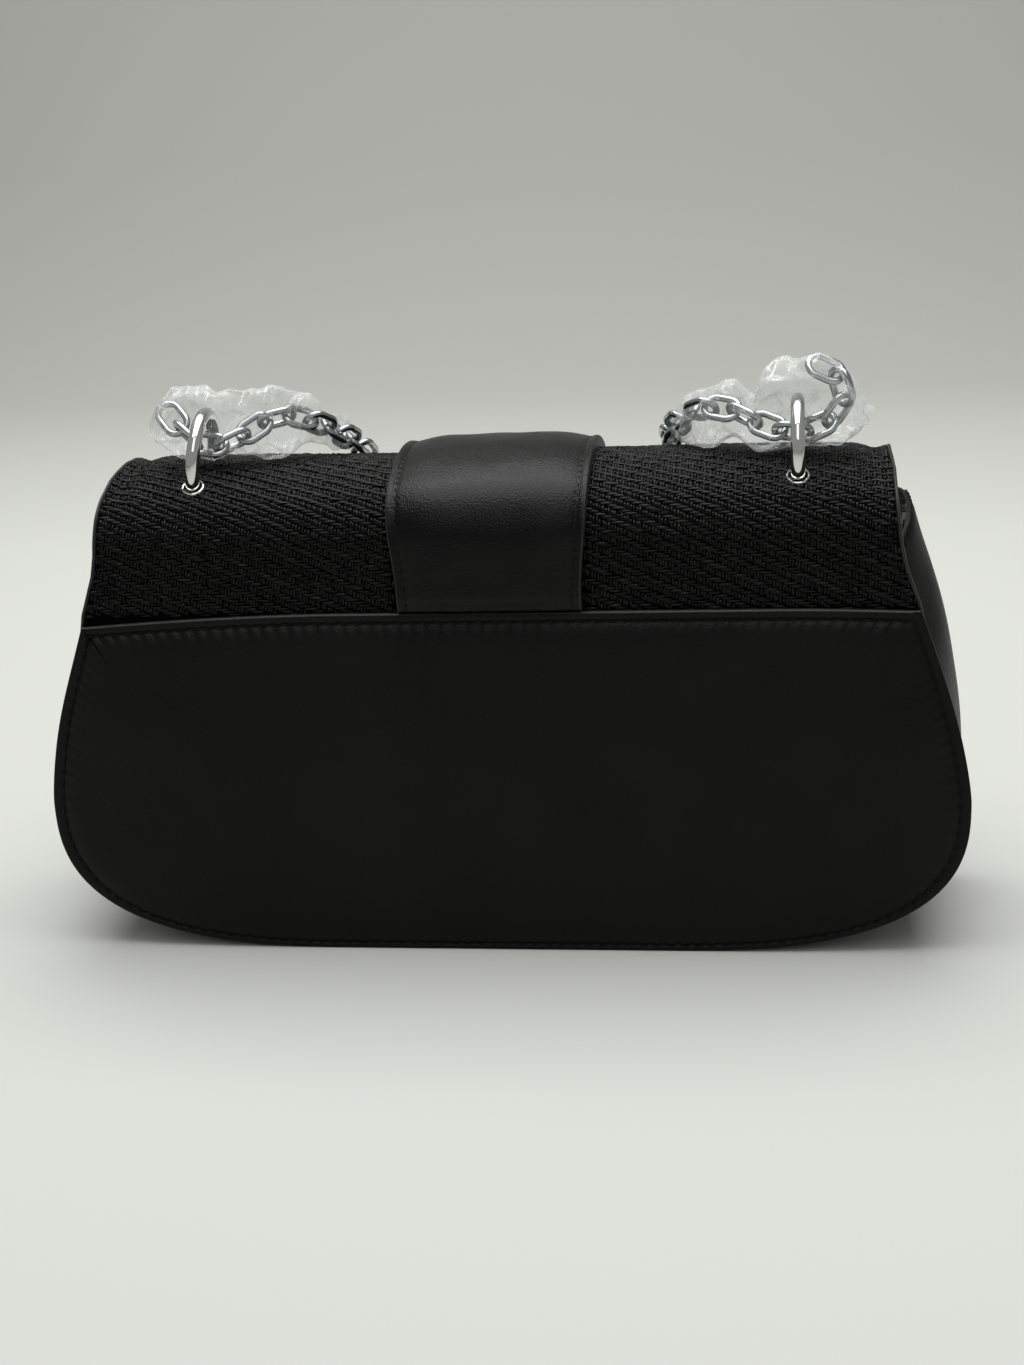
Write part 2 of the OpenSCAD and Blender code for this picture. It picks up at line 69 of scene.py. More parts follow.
# Matrix of an object whose own axes point right, up and back, at a place in metres
def matrixAt(right, up, back, place):
    return Matrix(np.column_stack([right, up, back, place]).tolist() + [[0, 0, 0, 1]])


# Looks at the target from the azimuth and elevation, turned about its own axis by the roll
def addCamera(fit):
    turn, lift, roll = (math.radians(fit[k]) for k in ("azimuth", "elevation", "roll"))
    back = np.array([math.sin(turn) * math.cos(lift), -math.cos(turn) * math.cos(lift), math.sin(lift)])
    level = np.array([math.cos(turn), math.sin(turn), 0])
    upright = np.cross(back, level)
    right = level * math.cos(roll) + upright * math.sin(roll)
    up = upright * math.cos(roll) - level * math.sin(roll)
    data = bpy.data.cameras.new("camera")
    data.sensor_fit = "VERTICAL"
    data.sensor_height = fit["sensor"]
    data.lens = fit["sensor"] * fit["focalPixels"] / fit["imageHeight"]
    data.clip_start, data.clip_end = 0.02, 20
    made = bpy.data.objects.new("camera", data)
    scene.collection.objects.link(made)
    place = (np.array(fit["target"]) + back * fit["distance"]) * millimetre
    made.matrix_world = matrixAt(right, up, back, place)
    scene.camera = made


addCamera(cameraFit)
print("camera placed")


# ---- materials
# sRGB hex to linear colour
def hexColour(text, alpha=1.0):
    parts = [int(text[i:i + 2], 16) / 255 for i in (1, 3, 5)]
    return tuple(c / 12.92 if c <= 0.04045 else ((c + 0.055) / 1.055) ** 2.4 for c in parts) + (alpha,)


# Adds one node with its settings, fixed inputs and links, each given by the socket's name or number
def addNode(material, kind, settings=None, values=None, links=None):
    made = material.node_tree.nodes.new(kind)
    for key, value in (settings or {}).items():
        setattr(made, key, value)
    for key, value in (values or {}).items():
        made.inputs[key].default_value = value
    for key, socket in (links or {}).items():
        material.node_tree.links.new(socket, made.inputs[key])
    return made


# Material with a Principled shader whose base colour and fixed values sit on its own sockets
def newMaterial(name, base, values):
    values = {"Base Color": hexColour(base), **values}
    made = bpy.data.materials.new(name)
    made.use_nodes = True
    made.node_tree.nodes.clear()
    shader = addNode(made, "ShaderNodeBsdfPrincipled", values=values)
    addNode(made, "ShaderNodeOutputMaterial", links={"Surface": shader.outputs[0]})
    made.diffuse_color = values["Base Color"]
    return made, shader


# Two colours mixed by a factor, into the shader's base colour
def colourBetween(material, shader, factor, low, high, fromMin=0.35, fromMax=0.65):
    ramp = addNode(material, "ShaderNodeMapRange", values={"From Min": fromMin, "From Max": fromMax},
                   links={"Value": factor})
    mixed = addNode(material, "ShaderNodeMix", {"data_type": "RGBA"}, {6: hexColour(low), 7: hexColour(high)},
                    {0: ramp.outputs[0]})
    material.node_tree.links.new(mixed.outputs[2], shader.inputs["Base Color"])


# Surface height from a factor, as a bump of a real depth in mm
def bumpFrom(material, shader, height, depth, strength=1.0, below=None):
    made = addNode(material, "ShaderNodeBump", values={"Distance": depth * millimetre, "Strength": strength},
                   links={"Height": height})
    if below is not None:
        material.node_tree.links.new(below.outputs[0], made.inputs["Normal"])
    material.node_tree.links.new(made.outputs[0], shader.inputs["Normal"])
    return made


# Roughness that varies between two values with a factor
def roughBetween(material, shader, factor, low, high):
    ramp = addNode(material, "ShaderNodeMapRange", values={"To Min": low, "To Max": high},
                   links={"Value": factor})
    material.node_tree.links.new(ramp.outputs[0], shader.inputs["Roughness"])


# Object coordinates times a factor that makes one unit one grain of a size in mm
def grainNoise(material, size, kind="ShaderNodeTexNoise", **values):
    where = addNode(material, "ShaderNodeTexCoord")
    settings = {"Scale": 1 / (size * millimetre)}
    settings.update(values)
    return addNode(material, kind, values=settings, links={"Vector": where.outputs["Object"]})


# Polyurethane-coated leather, calendered: fine pebbles about half a mm across, semi-matt, almost black
def makeCoatedLeather(name, base, light, rough=0.42, specular=0.12):
    made, shader = newMaterial(name, base, {"Roughness": rough, "IOR": 1.5, "Specular IOR Level": specular})
    pebbles = grainNoise(made, 0.62, "ShaderNodeTexVoronoi", Randomness=1.0)
    creases = grainNoise(made, 6.0, Detail=4.0, Roughness=0.6)
    bare = grainNoise(made, 26.0, Detail=2.0, Roughness=0.5)
    colourBetween(made, shader, bare.outputs[0], base, light)
    roughBetween(made, shader, creases.outputs[0], rough - 0.07, rough + 0.09)
    soft = bumpFrom(made, shader, creases.outputs[0], 0.5, 0.25)
    bumpFrom(made, shader, pebbles.outputs[0], 0.11, 0.8, soft)
    return made


# Surface of one grain: noise of a size in mm moves the colour between two and stands up by a depth
def makeGrained(name, base, low, high, size, detail, depth, strength, values):
    made, shader = newMaterial(name, base, values)
    grain = grainNoise(made, size, Detail=detail)
    colourBetween(made, shader, grain.outputs[0], low, high)
    bumpFrom(made, shader, grain.outputs[0], depth, strength)
    return made


# Woven paper raffia: flat strands with a low sheen, each a little lighter or darker, with fine fibres
def makeRaffia():
    made, shader = newMaterial("wovenRaffia", "#0b0b0a", {"Roughness": 0.36, "Specular IOR Level": 0.13})
    strand = addNode(made, "ShaderNodeAttribute", {"attribute_name": "strandShade"})
    colourBetween(made, shader, strand.outputs["Fac"], "#020202", "#151514", 0.0, 1.0)
    fibre = grainNoise(made, 0.35, Detail=3.0, Roughness=0.7)
    roughBetween(made, shader, fibre.outputs[0], 0.22, 0.46)
    bumpFrom(made, shader, fibre.outputs[0], 0.08, 0.6)
    return made


# Plain-woven polyester lining: threads at 0.4 mm, drawn at twice that pitch to show
def makeLiningCloth():
    made, shader = newMaterial("polyesterLining", "#1d1c1b", {"Roughness": 0.55, "Sheen Weight": 0.15,
                                                              "Specular IOR Level": 0.35})
    where = addNode(made, "ShaderNodeTexCoord")
    drawnPitch = 0.8 * millimetre
    bars = [addNode(made, "ShaderNodeTexWave", {"bands_direction": way},
                    {"Scale": 1 / drawnPitch / (2 * math.pi), "Distortion": 0.4, "Detail": 1.0},
                    {"Vector": where.outputs["Object"]}) for way in ("X", "Z")]
    woven = addNode(made, "ShaderNodeMath", {"operation": "MULTIPLY"},
                    links={0: bars[0].outputs["Fac"], 1: bars[1].outputs["Fac"]})
    colourBetween(made, shader, woven.outputs[0], "#161514", "#262523", 0.0, 1.0)
    bumpFrom(made, shader, woven.outputs[0], 0.1, 0.5)
    return made


# Polished nickel plate on zinc: bright, with faint casting ripples
def makePlate(name, base, rough, ripple):
    made, shader = newMaterial(name, base, {"Metallic": 1.0, "Roughness": rough})
    cast = grainNoise(made, 3.0, Detail=2.0)
    roughBetween(made, shader, cast.outputs[0], rough * 0.7, rough * 1.4)
    bumpFrom(made, shader, cast.outputs[0], ripple, 0.3)
    return made


# Polypropylene packing film, blown thin and crumpled: nearly clear, whitened along its creases and where
# it is seen edge-on
def makeFilm():
    made, shader = newMaterial("packingFilm", "#f1f2f2", {"Roughness": 0.08, "IOR": 1.49, "Coat Weight": 0.8,
                                                          "Coat Roughness": 0.05, "Specular IOR Level": 1.0})
    crease = addNode(made, "ShaderNodeAttribute", {"attribute_name": "creaseAmount"})
    streaks = grainNoise(made, 5.0, Detail=2.0, Roughness=0.5)
    facing = addNode(made, "ShaderNodeLayerWeight", values={"Blend": 0.4})
    edge = addNode(made, "ShaderNodeMapRange",
                   values={"From Min": 0.2, "From Max": 1.0, "To Min": 0.1, "To Max": 0.7},
                   links={"Value": facing.outputs["Facing"]})
    marks = addNode(made, "ShaderNodeMath", {"operation": "MULTIPLY_ADD"}, {1: 0.35},
                    {0: crease.outputs["Fac"], 2: edge.outputs[0]})
    made.node_tree.links.new(marks.outputs[0], shader.inputs["Alpha"])
    bumpFrom(made, shader, streaks.outputs[0], 0.25, 0.25)
    return made


leather = makeCoatedLeather("coatedLeather", "#090908", "#0d0d0c")
strapLeather = makeCoatedLeather("strapLeather", "#030303", "#050505", 0.31, 0.16)
# Matt acrylic edge paint, brushed over the cut edges: grey-black with small drags
edgePaint = makeGrained("edgePaint", "#232321", "#141413", "#232321", 1.6, 3.0, 0.12, 0.6,
                        {"Roughness": 0.5, "Specular IOR Level": 0.35})
raffia = makeRaffia()
# The cloth under the floats, seen only between them: near black and without sheen, as painted shade in the
# holes of the weave
weaveHoleShade = makeGrained("weaveHoleShade", "#030303", "#010101", "#060605", 0.8, 2.0, 0.1, 0.5,
                          {"Roughness": 0.9, "Specular IOR Level": 0.02})
liningCloth = makeLiningCloth()
nickel = makePlate("nickelPlate", "#d8d8d5", 0.05, 0.04)
chainPlate = makePlate("zincPlate", "#a9adae", 0.2, 0.08)
film = makeFilm()
# Spun polyester sewing thread, black, with fine light and dark plies
thread = makeGrained("sewingThread", "#0b0b0a", "#030303", "#0c0c0b", 0.5, 2.0, 0.1, 0.5,
                     {"Roughness": 0.65, "Sheen Weight": 0.04, "Specular IOR Level": 0.08})
print("materials made")


# ---- mesh helpers
# Quads of a grid with rows and columns, which may close on themselves
def gridFaces(rows, cols, closeCols=False):
    r = np.arange(rows - 1)[:, None]
    c = np.arange(cols if closeCols else cols - 1)[None, :]
    after = (c + 1) % cols
    return np.stack([r * cols + c, r * cols + after, (r + 1) * cols + after, (r + 1) * cols + c],
                    -1).reshape(-1, 4)


# Makes an object from points in mm about the flap's middle. closed turns its faces outward by the
# sign of its volume, weld joins points that meet, and smooth is one answer or one for each face
def makePiece(name, points, faces, materials, faceMaterial=None, closed=False, weld=False,
              attributes=None, smooth=True):
    points = np.asarray(points, float).reshape(-1, 3)
    if closed:
        p = points[faces]
        volume = sum(np.einsum("ij,ij->i", p[:, 0], np.cross(p[:, k], p[:, k + 1])).sum() for k in (1, 2))
        if volume < 0:
            faces = faces[:, ::-1]
    mesh = bpy.data.meshes.new(name)
    mesh.from_pydata((points + (0, bag["midShift"], 0)) * millimetre, [], faces)
    for material in materials:
        mesh.materials.append(material)
    if faceMaterial is not None:
        mesh.polygons.foreach_set("material_index", np.asarray(faceMaterial, np.int32))
    mesh.polygons.foreach_set("use_smooth", np.full(len(mesh.polygons), smooth))
    for key, values in (attributes or {}).items():
        layer = mesh.attributes.new(key, "FLOAT", "POINT")
        layer.data.foreach_set("value", np.asarray(values, np.float32).ravel())
    if weld:
        work = bmesh.new()
        work.from_mesh(mesh)
        bmesh.ops.remove_doubles(work, verts=work.verts, dist=2e-6)
        bmesh.ops.dissolve_degenerate(work, edges=work.edges, dist=1e-7)
        work.to_mesh(mesh)
        work.free()
    mesh.update()
    made = bpy.data.objects.new(name, mesh)
    scene.collection.objects.link(made)
    return made


# Closed shell between an outer and an inner grid: both faces, and a strip along each open side
def shellFaces(rows, cols):
    grid = gridFaces(rows, cols)
    at = np.arange(rows * cols).reshape(rows, cols)
    lower = rows * cols
    sides = [at[0], at[-1], at[:, 0], at[:, -1]]
    strips = [np.stack([s[:-1], s[1:], s[1:] + lower, s[:-1] + lower], -1) for s in sides]
    strips[1], strips[2] = strips[1][:, ::-1], strips[2][:, ::-1]
    return np.concatenate([grid[:, ::-1], grid + lower, *strips]), len(grid)


# Piece that is a shell between two grids of points. paint marks the quads of its outer face that take the
# second material, as all its sides then do, and bluntSides shades its sides flat
def makeShell(name, outer, inner, materials, paint=None, bluntSides=False):
    faces, count = shellFaces(*outer.shape[:2])
    material = None
    if paint is not None:
        material = np.concatenate([paint, np.zeros(count), np.ones(len(faces) - 2 * count)])
    return makePiece(name, np.concatenate([outer.reshape(-1, 3), inner.reshape(-1, 3)]), faces, materials,
                     material, closed=True, smooth=(np.arange(len(faces)) < 2 * count) | (not bluntSides))


# Smooth step from 0 to 1 between two places
def ease(x, low, high):
    t = np.clip((x - low) / (high - low), 0, 1)
    return t * t * (3 - 2 * t)


# Soft random field: waves whose directions, phases and lengths come from a seed, scaled to about -1 to 1
def softField(points, size, seed, waves=14):
    draw = np.random.default_rng(seed)
    ways = draw.normal(size=(waves, points.shape[-1]))
    ways /= np.linalg.norm(ways, axis=1, keepdims=True) * size * draw.uniform(0.6, 1.6, (waves, 1))
    total = np.zeros(points.shape[:-1])
    for way, phase in zip(ways, draw.uniform(0, 2 * math.pi, waves)):
        total += np.sin(2 * math.pi * (points @ way) + phase)
    return total / math.sqrt(waves) / 1.1


# Parameter values at which a curve's points lie evenly along it, and its length
def evenSteps(curve, low, high, count, ends=True):
    fine = np.linspace(low, high, 6001)
    p = curve(fine)
    run = np.concatenate([[0], np.cumsum(np.linalg.norm(np.diff(p, axis=0), axis=1))])
    return np.interp(np.linspace(0, run[-1], count, endpoint=ends), run, fine), run[-1]


# Stations that lie evenly along a wall's edge, drawn in by an inset, and the length of that edge
def edgeSteps(inset, top, low, high, count, ends=True):
    return evenSteps(lambda u: np.stack(wallEdge(u, inset, top), -1), low, high, count, ends)


# Half width of a wall at a height: full up to the widest place, then drawn in by a power of the height
def sideHalf(z, inset):
    rise = np.maximum(0, z - bag["widestHeight"]) / (bag["seamHeight"] - bag["widestHeight"])
    return bag["halfWidth"] - inset - bag["topTaper"] * rise ** bag["taperPower"]


# A wall's edge as x and z. u runs 0-1 down the right side, 1-2 round its superellipse corner, 2-3 along
# the flat bottom, 3-5 the same on the left, and 5-6 along the top
def wallEdge(u, inset, top):
    u, inset = np.broadcast_arrays(np.asarray(u, float), np.asarray(inset, float))
    side = np.where((u > 2.5) & (u < 5), -1.0, 1.0)
    k = np.where(u > 2.5, 5 - np.minimum(u, 5), u)
    crest = top - inset
    zSide = crest + (bag["widestHeight"] - crest) * np.clip(k, 0, 1)
    angle = np.radians(90 * np.clip(k - 1, 0, 1))
    flat = bag["halfWidth"] - bag["cornerReach"]
    share = 2 / bag["cornerPower"]
    xCorner = flat + (bag["cornerReach"] - inset) * np.clip(np.cos(angle), 0, 1) ** share
    zCorner = bag["widestHeight"] - (bag["widestHeight"] - inset) * np.clip(np.sin(angle), 0, 1) ** share
    xFlat = flat * (1 - 2 * np.clip(k - 2, 0, 0.5))
    x = np.where(k < 1, sideHalf(zSide, inset), np.where(k < 2, xCorner, xFlat))
    z = np.where(k < 1, zSide, np.where(k < 2, zCorner, inset))
    along = np.clip(u - 5, 0, 1)
    onTop = u > 5
    return (np.where(onTop, sideHalf(crest, inset) * (2 * along - 1), side * x), np.where(onTop, crest, z))


# Row of stitches, each a closed half-sunk thread between two holes. Its length runs along the line of
# places and is turned a little, as a lockstitch lies
def makeStitches(name, line, outs, length, width, turned=0.12, sunk=0.05):
    along = np.gradient(line, axis=0)
    along /= np.linalg.norm(along, axis=1, keepdims=True)
    outs = outs / np.linalg.norm(outs, axis=1, keepdims=True)
    side = np.cross(outs, along)
    along = along * math.cos(turned) + side * math.sin(turned)
    side = np.cross(outs, along)
    t = np.array([-1, -0.8, -0.3, 0.3, 0.8, 1])
    taper = np.array([0, 0.7, 1, 1, 0.7, 0])
    rings = sides = len(t)
    turn = np.linspace(0, 2 * math.pi, sides, endpoint=False)
    rise = 0.28 * (1 - t ** 2) * width
    part = lambda value, way: value[None, :, :, None] * way[:, None, None, :]
    run = np.repeat((t * length / 2)[:, None], sides, 1)
    points = line[:, None, None] + part(run, along) + part(taper[:, None] * np.cos(turn) * width / 2, side) \
        + part(taper[:, None] * np.sin(turn) * width / 2 + rise[:, None] - sunk, outs)
    cell = gridFaces(rings, sides, True)
    faces = (cell[None] + np.arange(len(line))[:, None, None] * rings * sides).reshape(-1, 4)
    made = makePiece(name, points, faces, [thread], closed=True, weld=True)
    return made


# ---- padded walls
# waves gives each wave of the padding as its height, length and seed
wall = {"steps": 1100, "backFace": -33.05, "frontFace": 28.75, "bottomShare": 0.6, "stitchInset": 2.9,
        "stitchPitch": 3.9, "stitchLength": 2.7, "stitchWidth": 0.6, "pucker": 0.2, "pull": 0.12,
        "topPull": 0.2, "droopLeft": 3.4, "droopRight": 1.1, "middleHalf": 60, "middleHeight": 52.0,
        "waves": ((0.3, 70, 3), (0.12, 24, 5), (0.04, 9, 6))}
# Height over the panel's inner face at each distance in from its edge, and the same along the top, whose
# cut edge is bevelled and painted
wallInsets = np.array([0.0, 0.0, 0.1, 0.45, 1.2, 2.0, 2.5, 2.9, 3.3, 3.9, 4.8, 6, 7.5, 9.5, 12, 15, 19,
                       24, 30, 37])
wallHeights = np.array([0.25, 0.9, 1.28, 1.45, 1.5, 1.42, 1.18, 0.95, 1.15, 1.5, 1.9, 2.25, 2.5, 2.7, 2.85,
                        2.95, 3.05, 3.15, 3.2, 3.25])
topHeights = np.array([0.25, 0.85, 1.25, 1.58, 1.72, 1.6, 1.2, 0.85, 1.15, 1.6, 2.0, 2.35, 2.6, 2.75, 2.88,
                       2.97, 3.05, 3.15, 3.2, 3.25])


# The back seam's sag towards the bag's ends: a power of the distance past a place, stronger on the left
def seamDroop(x, z):
    left = np.clip((-x - 45) / 74, 0, 1.1) ** 1.7 * wall["droopLeft"]
    right = np.clip((x - 80) / 39, 0, 1.1) ** 1.7 * wall["droopRight"]
    return (left + right) * ease(z, 62, bag["seamHeight"])


# Slow waves over the padding, from long to short
def padWaves(place):
    return sum(high * softField(place, size, seed) for high, size, seed in wall["waves"])


# Padded wall: rows go in from the edge at wallInsets to the middle line, with heights from wallHeights, a
# pucker at each stitch and slow waves over the padding. way is -1 for the wall that faces -Y
def makeWall(name, faceDepth, way, top, droops):
    stations, length = edgeSteps(wall["stitchInset"], top, 0, 6, wall["steps"], False)
    _, rimHeight = wallEdge(stations, 0, top)
    share = wall["bottomShare"] + (1 - wall["bottomShare"]) * ease(rimHeight, 2, 26)
    share = np.repeat(share[None], len(wallInsets), 0)
    deep = wallInsets[:, None]
    drawn = np.where(deep <= wall["stitchInset"], deep * share, deep - wall["stitchInset"] * (1 - share))
    x, z = wallEdge(stations[None, :], drawn, top)
    onTop = ease(stations, 4.98, 5.02) * (1 - ease(stations, 5.98, 6.0))
    height = wallHeights[:, None] + (topHeights - wallHeights)[:, None] * onTop[None]
    along = np.linspace(0, 1, len(stations), endpoint=False) * length
    stitch = np.exp(-((wallInsets - wall["stitchInset"]) / 0.9) ** 2)[:, None]
    pull = np.exp(-((wallInsets - wall["stitchInset"] - 2.2) / 2.2) ** 2)[:, None]
    beat = np.cos(2 * math.pi * along / wall["stitchPitch"])[None, :]
    height = height - wall["pucker"] * stitch * beat - wall["pull"] * pull * beat * (1 + 1.3 * onTop[None])
    place = np.stack([x, z], -1)
    height = height + ease(wallInsets, 3, 20)[:, None] * padWaves(place)
    topPull = ease(z, top - 18, top - 4) * ease(wallInsets, 3, 8)[:, None]
    height = height + topPull * wall["topPull"] * softField(place * (1, 0.35), 8, 8)
    middleX = np.round(np.clip(x[-1], -wall["middleHalf"], wall["middleHalf"]) / 3) * 3
    mid = np.stack([middleX, np.full(len(stations), wall["middleHeight"])], -1)
    rows = np.array([place[-1] * (1 - t) + mid * t for t in (0.35, 0.7, 1.0)])
    place = np.concatenate([place, rows])
    height = np.concatenate([height, wallHeights[-1] + padWaves(rows)])
    backPlace = np.concatenate([[place[-1], place[-3]], [np.stack(wallEdge(stations, i, top), -1)
                                                         for i in (20, 6, 0.4)]])
    place = np.concatenate([backPlace, place])
    height = np.concatenate([np.zeros((len(backPlace), len(stations))), height])
    drop = seamDroop(place[..., 0], place[..., 1]) if droops else 0 * place[..., 0]
    points = np.stack([place[..., 0], faceDepth + way * height, place[..., 1] - drop], -1)
    faces = gridFaces(len(place), len(stations), True)
    # The paint covers the cut edge and its shoulder, and one ring more along the top
    ring = np.repeat(np.arange(len(place) - 1), len(stations))
    cutFrom, cutTo = 3, 6
    painted = (ring >= cutFrom) & (ring <= cutTo + (np.tile(onTop, len(place) - 1) > 0.5))
    made = makePiece(name, points, faces, [leather, edgePaint], painted, closed=True, weld=True)
    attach(made, "root")
    atStitch = len(backPlace) + int(np.argmin(np.abs(wallInsets - wall["stitchInset"])))
    marks = np.arange(0.5, length / wall["stitchPitch"] - 0.5) * wall["stitchPitch"]
    line = np.stack([np.interp(marks, along, points[atStitch, :, k]) for k in range(3)], -1)
    threads = makeStitches(name + "Stitches", line, np.tile((0.0, way, 0.0), (len(line), 1)),
                           wall["stitchLength"], wall["stitchWidth"])
    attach(threads, "root")
    return made


backWall = makeWall("backWall", wall["backFace"], -1, bag["seamHeight"], True)
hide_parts("back_panel", "back_foam")
frontWall = makeWall("frontWall", wall["frontFace"], 1, bag["frontHeight"], False)
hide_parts("front_panel", "front_foam")
print("walls made")

# ---- gusset: one strip round both sides and the base, with a flange against each wall and a turned hem
gusset = {"along": 260, "across": 44, "innerFrom": -28.8, "innerTo": 24.6, "rimFrom": -30.15, "rimTo": 25.95,
          "rimInset": 0.15, "rimUpTo": 60, "thickness": 1.4, "hemWidth": 4.2, "hemSwell": 0.55, "slack": 0.5,
          "leanUp": 3.5, "leanDown": 6.0, "stitches": 19}


# How far the gusset bows out at a height: not at all up to bowFrom, then evenly more up to the hem
def bowAt(z):
    return bag["gussetBow"] * np.maximum(0, z - bag["bowFrom"]) / (bag["hemHeight"] - bag["bowFrom"])


# The gusset's points: along its strip at u, across it at w from the back wall to the front one. It bows
# out by a parabola across, and its hem dips where it meets the walls and leans towards the back one
def gussetPoint(u, w, extra, fromDepth, toDepth):
    _, z = wallEdge(u, 0, bag["hemHeight"])
    bow = bowAt(z) * (1 - (2 * w - 1) ** 2)
    x, z = wallEdge(u, bag["gussetInset"] - bow - extra, bag["hemHeight"])
    hem = ease(z, bag["hemHeight"] - 45, bag["hemHeight"])
    lean = gusset["leanUp"] * ease(w, 0.25, 0.8) - gusset["leanDown"] * (1 - ease(w, 0.02, 0.45))
    z = np.minimum(z, bag["hemHeight"]) - hem * (fold["hemDip"] * (2 * w - 1) ** 4 - lean)
    return np.stack([x, fromDepth + (toDepth - fromDepth) * w + 0 * x, z], -1)


# The strip as a shell: its outer face swells over the hem and goes slack below it, and each side ends in a
# flange that runs out to the walls' edge
def makeGusset():
    stations, _ = edgeSteps(bag["gussetInset"], bag["hemHeight"], 0, 5, gusset["along"])
    w = np.linspace(0, 1, gusset["across"])
    u, across = np.meshgrid(stations, w, indexing="ij")
    _, z = wallEdge(u, 0, bag["hemHeight"])
    run = bag["hemHeight"] - z
    hem = (1 - ease(run, gusset["hemWidth"], gusset["hemWidth"] + 0.8))
    rough = softField(np.stack([run, across * 50, np.sign(u - 2.5) * 40], -1), 38, 21)
    slack = ease(run, 4, 18) * ease(across, 0, 0.12) * (1 - ease(across, 0.88, 1))
    swell = gusset["hemSwell"] * hem + gusset["slack"] * slack * rough
    outer = gussetPoint(u, across, swell, gusset["innerFrom"], gusset["innerTo"])
    inner = gussetPoint(u, across, -gusset["thickness"] + 0 * hem, gusset["innerFrom"], gusset["innerTo"])
    x, rimHeight = wallEdge(stations, gusset["rimInset"], bag["hemHeight"])
    flanges, rims = [], []
    for end, flangeAt, rimAt in ((0, gusset["innerFrom"], gusset["rimFrom"]),
                                 (-1, gusset["innerTo"], gusset["rimTo"])):
        height = outer[:, end, 2] + (rimHeight - outer[:, end, 2]) * (rimHeight < gusset["rimUpTo"])
        flanges.append(np.stack([x, flangeAt + 0 * x, height], -1)[:, None])
        rims.append(np.stack([x, rimAt + 0 * x, height], -1)[:, None])
        inner[:, end, 1] = rimAt
    outer = np.concatenate([flanges[0], outer, flanges[1]], 1)
    inner = np.concatenate([rims[0], inner, rims[1]], 1)
    made = makeShell("gussetSkin", outer, inner, [leather])
    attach(made, "root")
    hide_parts("gusset")
    for hemSide, first, last in (("Right", 0, 1), ("Left", 4, 5)):
        fine = np.linspace(first, last, 900)
        _, height = wallEdge(fine, 0, bag["hemHeight"])
        at = fine[np.argmin(np.abs(bag["hemHeight"] - height - gusset["hemWidth"] - 0.4))]
        across = np.linspace(0.05, 0.95, gusset["stitches"])
        line = gussetPoint(at + 0 * across, across, 0.1, gusset["innerFrom"], gusset["innerTo"])
        way = np.tile((1.0 if first == 0 else -1.0, 0.0, 0.0), (len(across), 1))
        threads = makeStitches("hemStitches" + hemSide, line, way, 2.0, 0.5)
        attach(threads, "root")


makeGusset()
print("gusset made")

# ---- flap sheet. A place on it is x across and s along, from the back seam over the crest to the front
# edge. clothFrom to liningTo are depths under its outer face
sheet = {"start": -6.0, "clothFrom": 0.55, "clothTo": 1.55, "clothInset": 0.5, "liningFrom": 1.6,
         "liningTo": 2.3, "liningInset": 0.6,
         "edgePull": 1.5, "split": 66.0, "cornerRadius": 36.0, "eyeletAcross": 84.35,
         "eyeletAt": (39.2, 62.7), "eyeletRoom": 9, "bendDepth": 36.6}
foldArc = fold["foldRadius"] * math.radians(90 - fold["slope"])
crownArc = fold["crownRadius"] * math.radians(2 * fold["slope"])
riseLength = fold["foldHeight"] - bag["seamHeight"]
frontStart = riseLength + 2 * foldArc + crownArc
sheetEnd = frontStart + fold["foldHeight"] - fold["frontEdge"]
strapEnd = frontStart + fold["foldHeight"] - fold["strapEdge"]


# The flap's outer face: straight up, a fold arc, the crown's arc, a second fold arc and straight down.
# Gives depth, height and the outward normal's angle, which is 180 degrees at the back and 0 at the front
def flapPath(s):
    one = np.clip(s - riseLength, 0, foldArc) / fold["foldRadius"]
    two = np.clip(s - riseLength - foldArc, 0, crownArc) / fold["crownRadius"]
    three = np.clip(s - riseLength - foldArc - crownArc, 0, foldArc) / fold["foldRadius"]
    angle = math.pi - one - two - three
    onCrown = s >= riseLength + foldArc
    onFront = s >= riseLength + foldArc + crownArc
    radius = np.where(onCrown & ~onFront, fold["crownRadius"], fold["foldRadius"])
    centreY = np.where(onFront, fold["foldDepth"], np.where(onCrown, 0, -fold["foldDepth"]))
    centreZ = np.where(onCrown & ~onFront, fold["crownHeight"], fold["foldHeight"])
    y = centreY + radius * np.cos(angle)
    z = centreZ + radius * np.sin(angle) + np.minimum(s - riseLength, 0) - np.maximum(s - frontStart, 0)
    return y, z, angle


# The rear edge's own sway, outward in mm at places along the sheet
swayAt, swayBy = [-6, 0, 5, 11, 17, 23, 30, 45, 60], [1.7, 1.5, 0.5, -0.7, -1.0, -0.75, -0.3, 0.3, 0]


# Half width of the flap: an even taper from the seam to the crest, with the rear's sway and round corners
# in front
def flapHalf(s):
    _, z, _ = flapPath(s)
    rise = (z - bag["seamHeight"]) / (bag["crestHeight"] - bag["seamHeight"])
    half = bag["flapSeamHalf"] + (bag["flapCrestHalf"] - bag["flapSeamHalf"]) * rise
    half = half + np.interp(s, swayAt, swayBy)
    into = np.clip(s - (sheetEnd - sheet["cornerRadius"]), 0, sheet["cornerRadius"])
    return half - sheet["cornerRadius"] + np.sqrt(sheet["cornerRadius"] ** 2 - into ** 2)


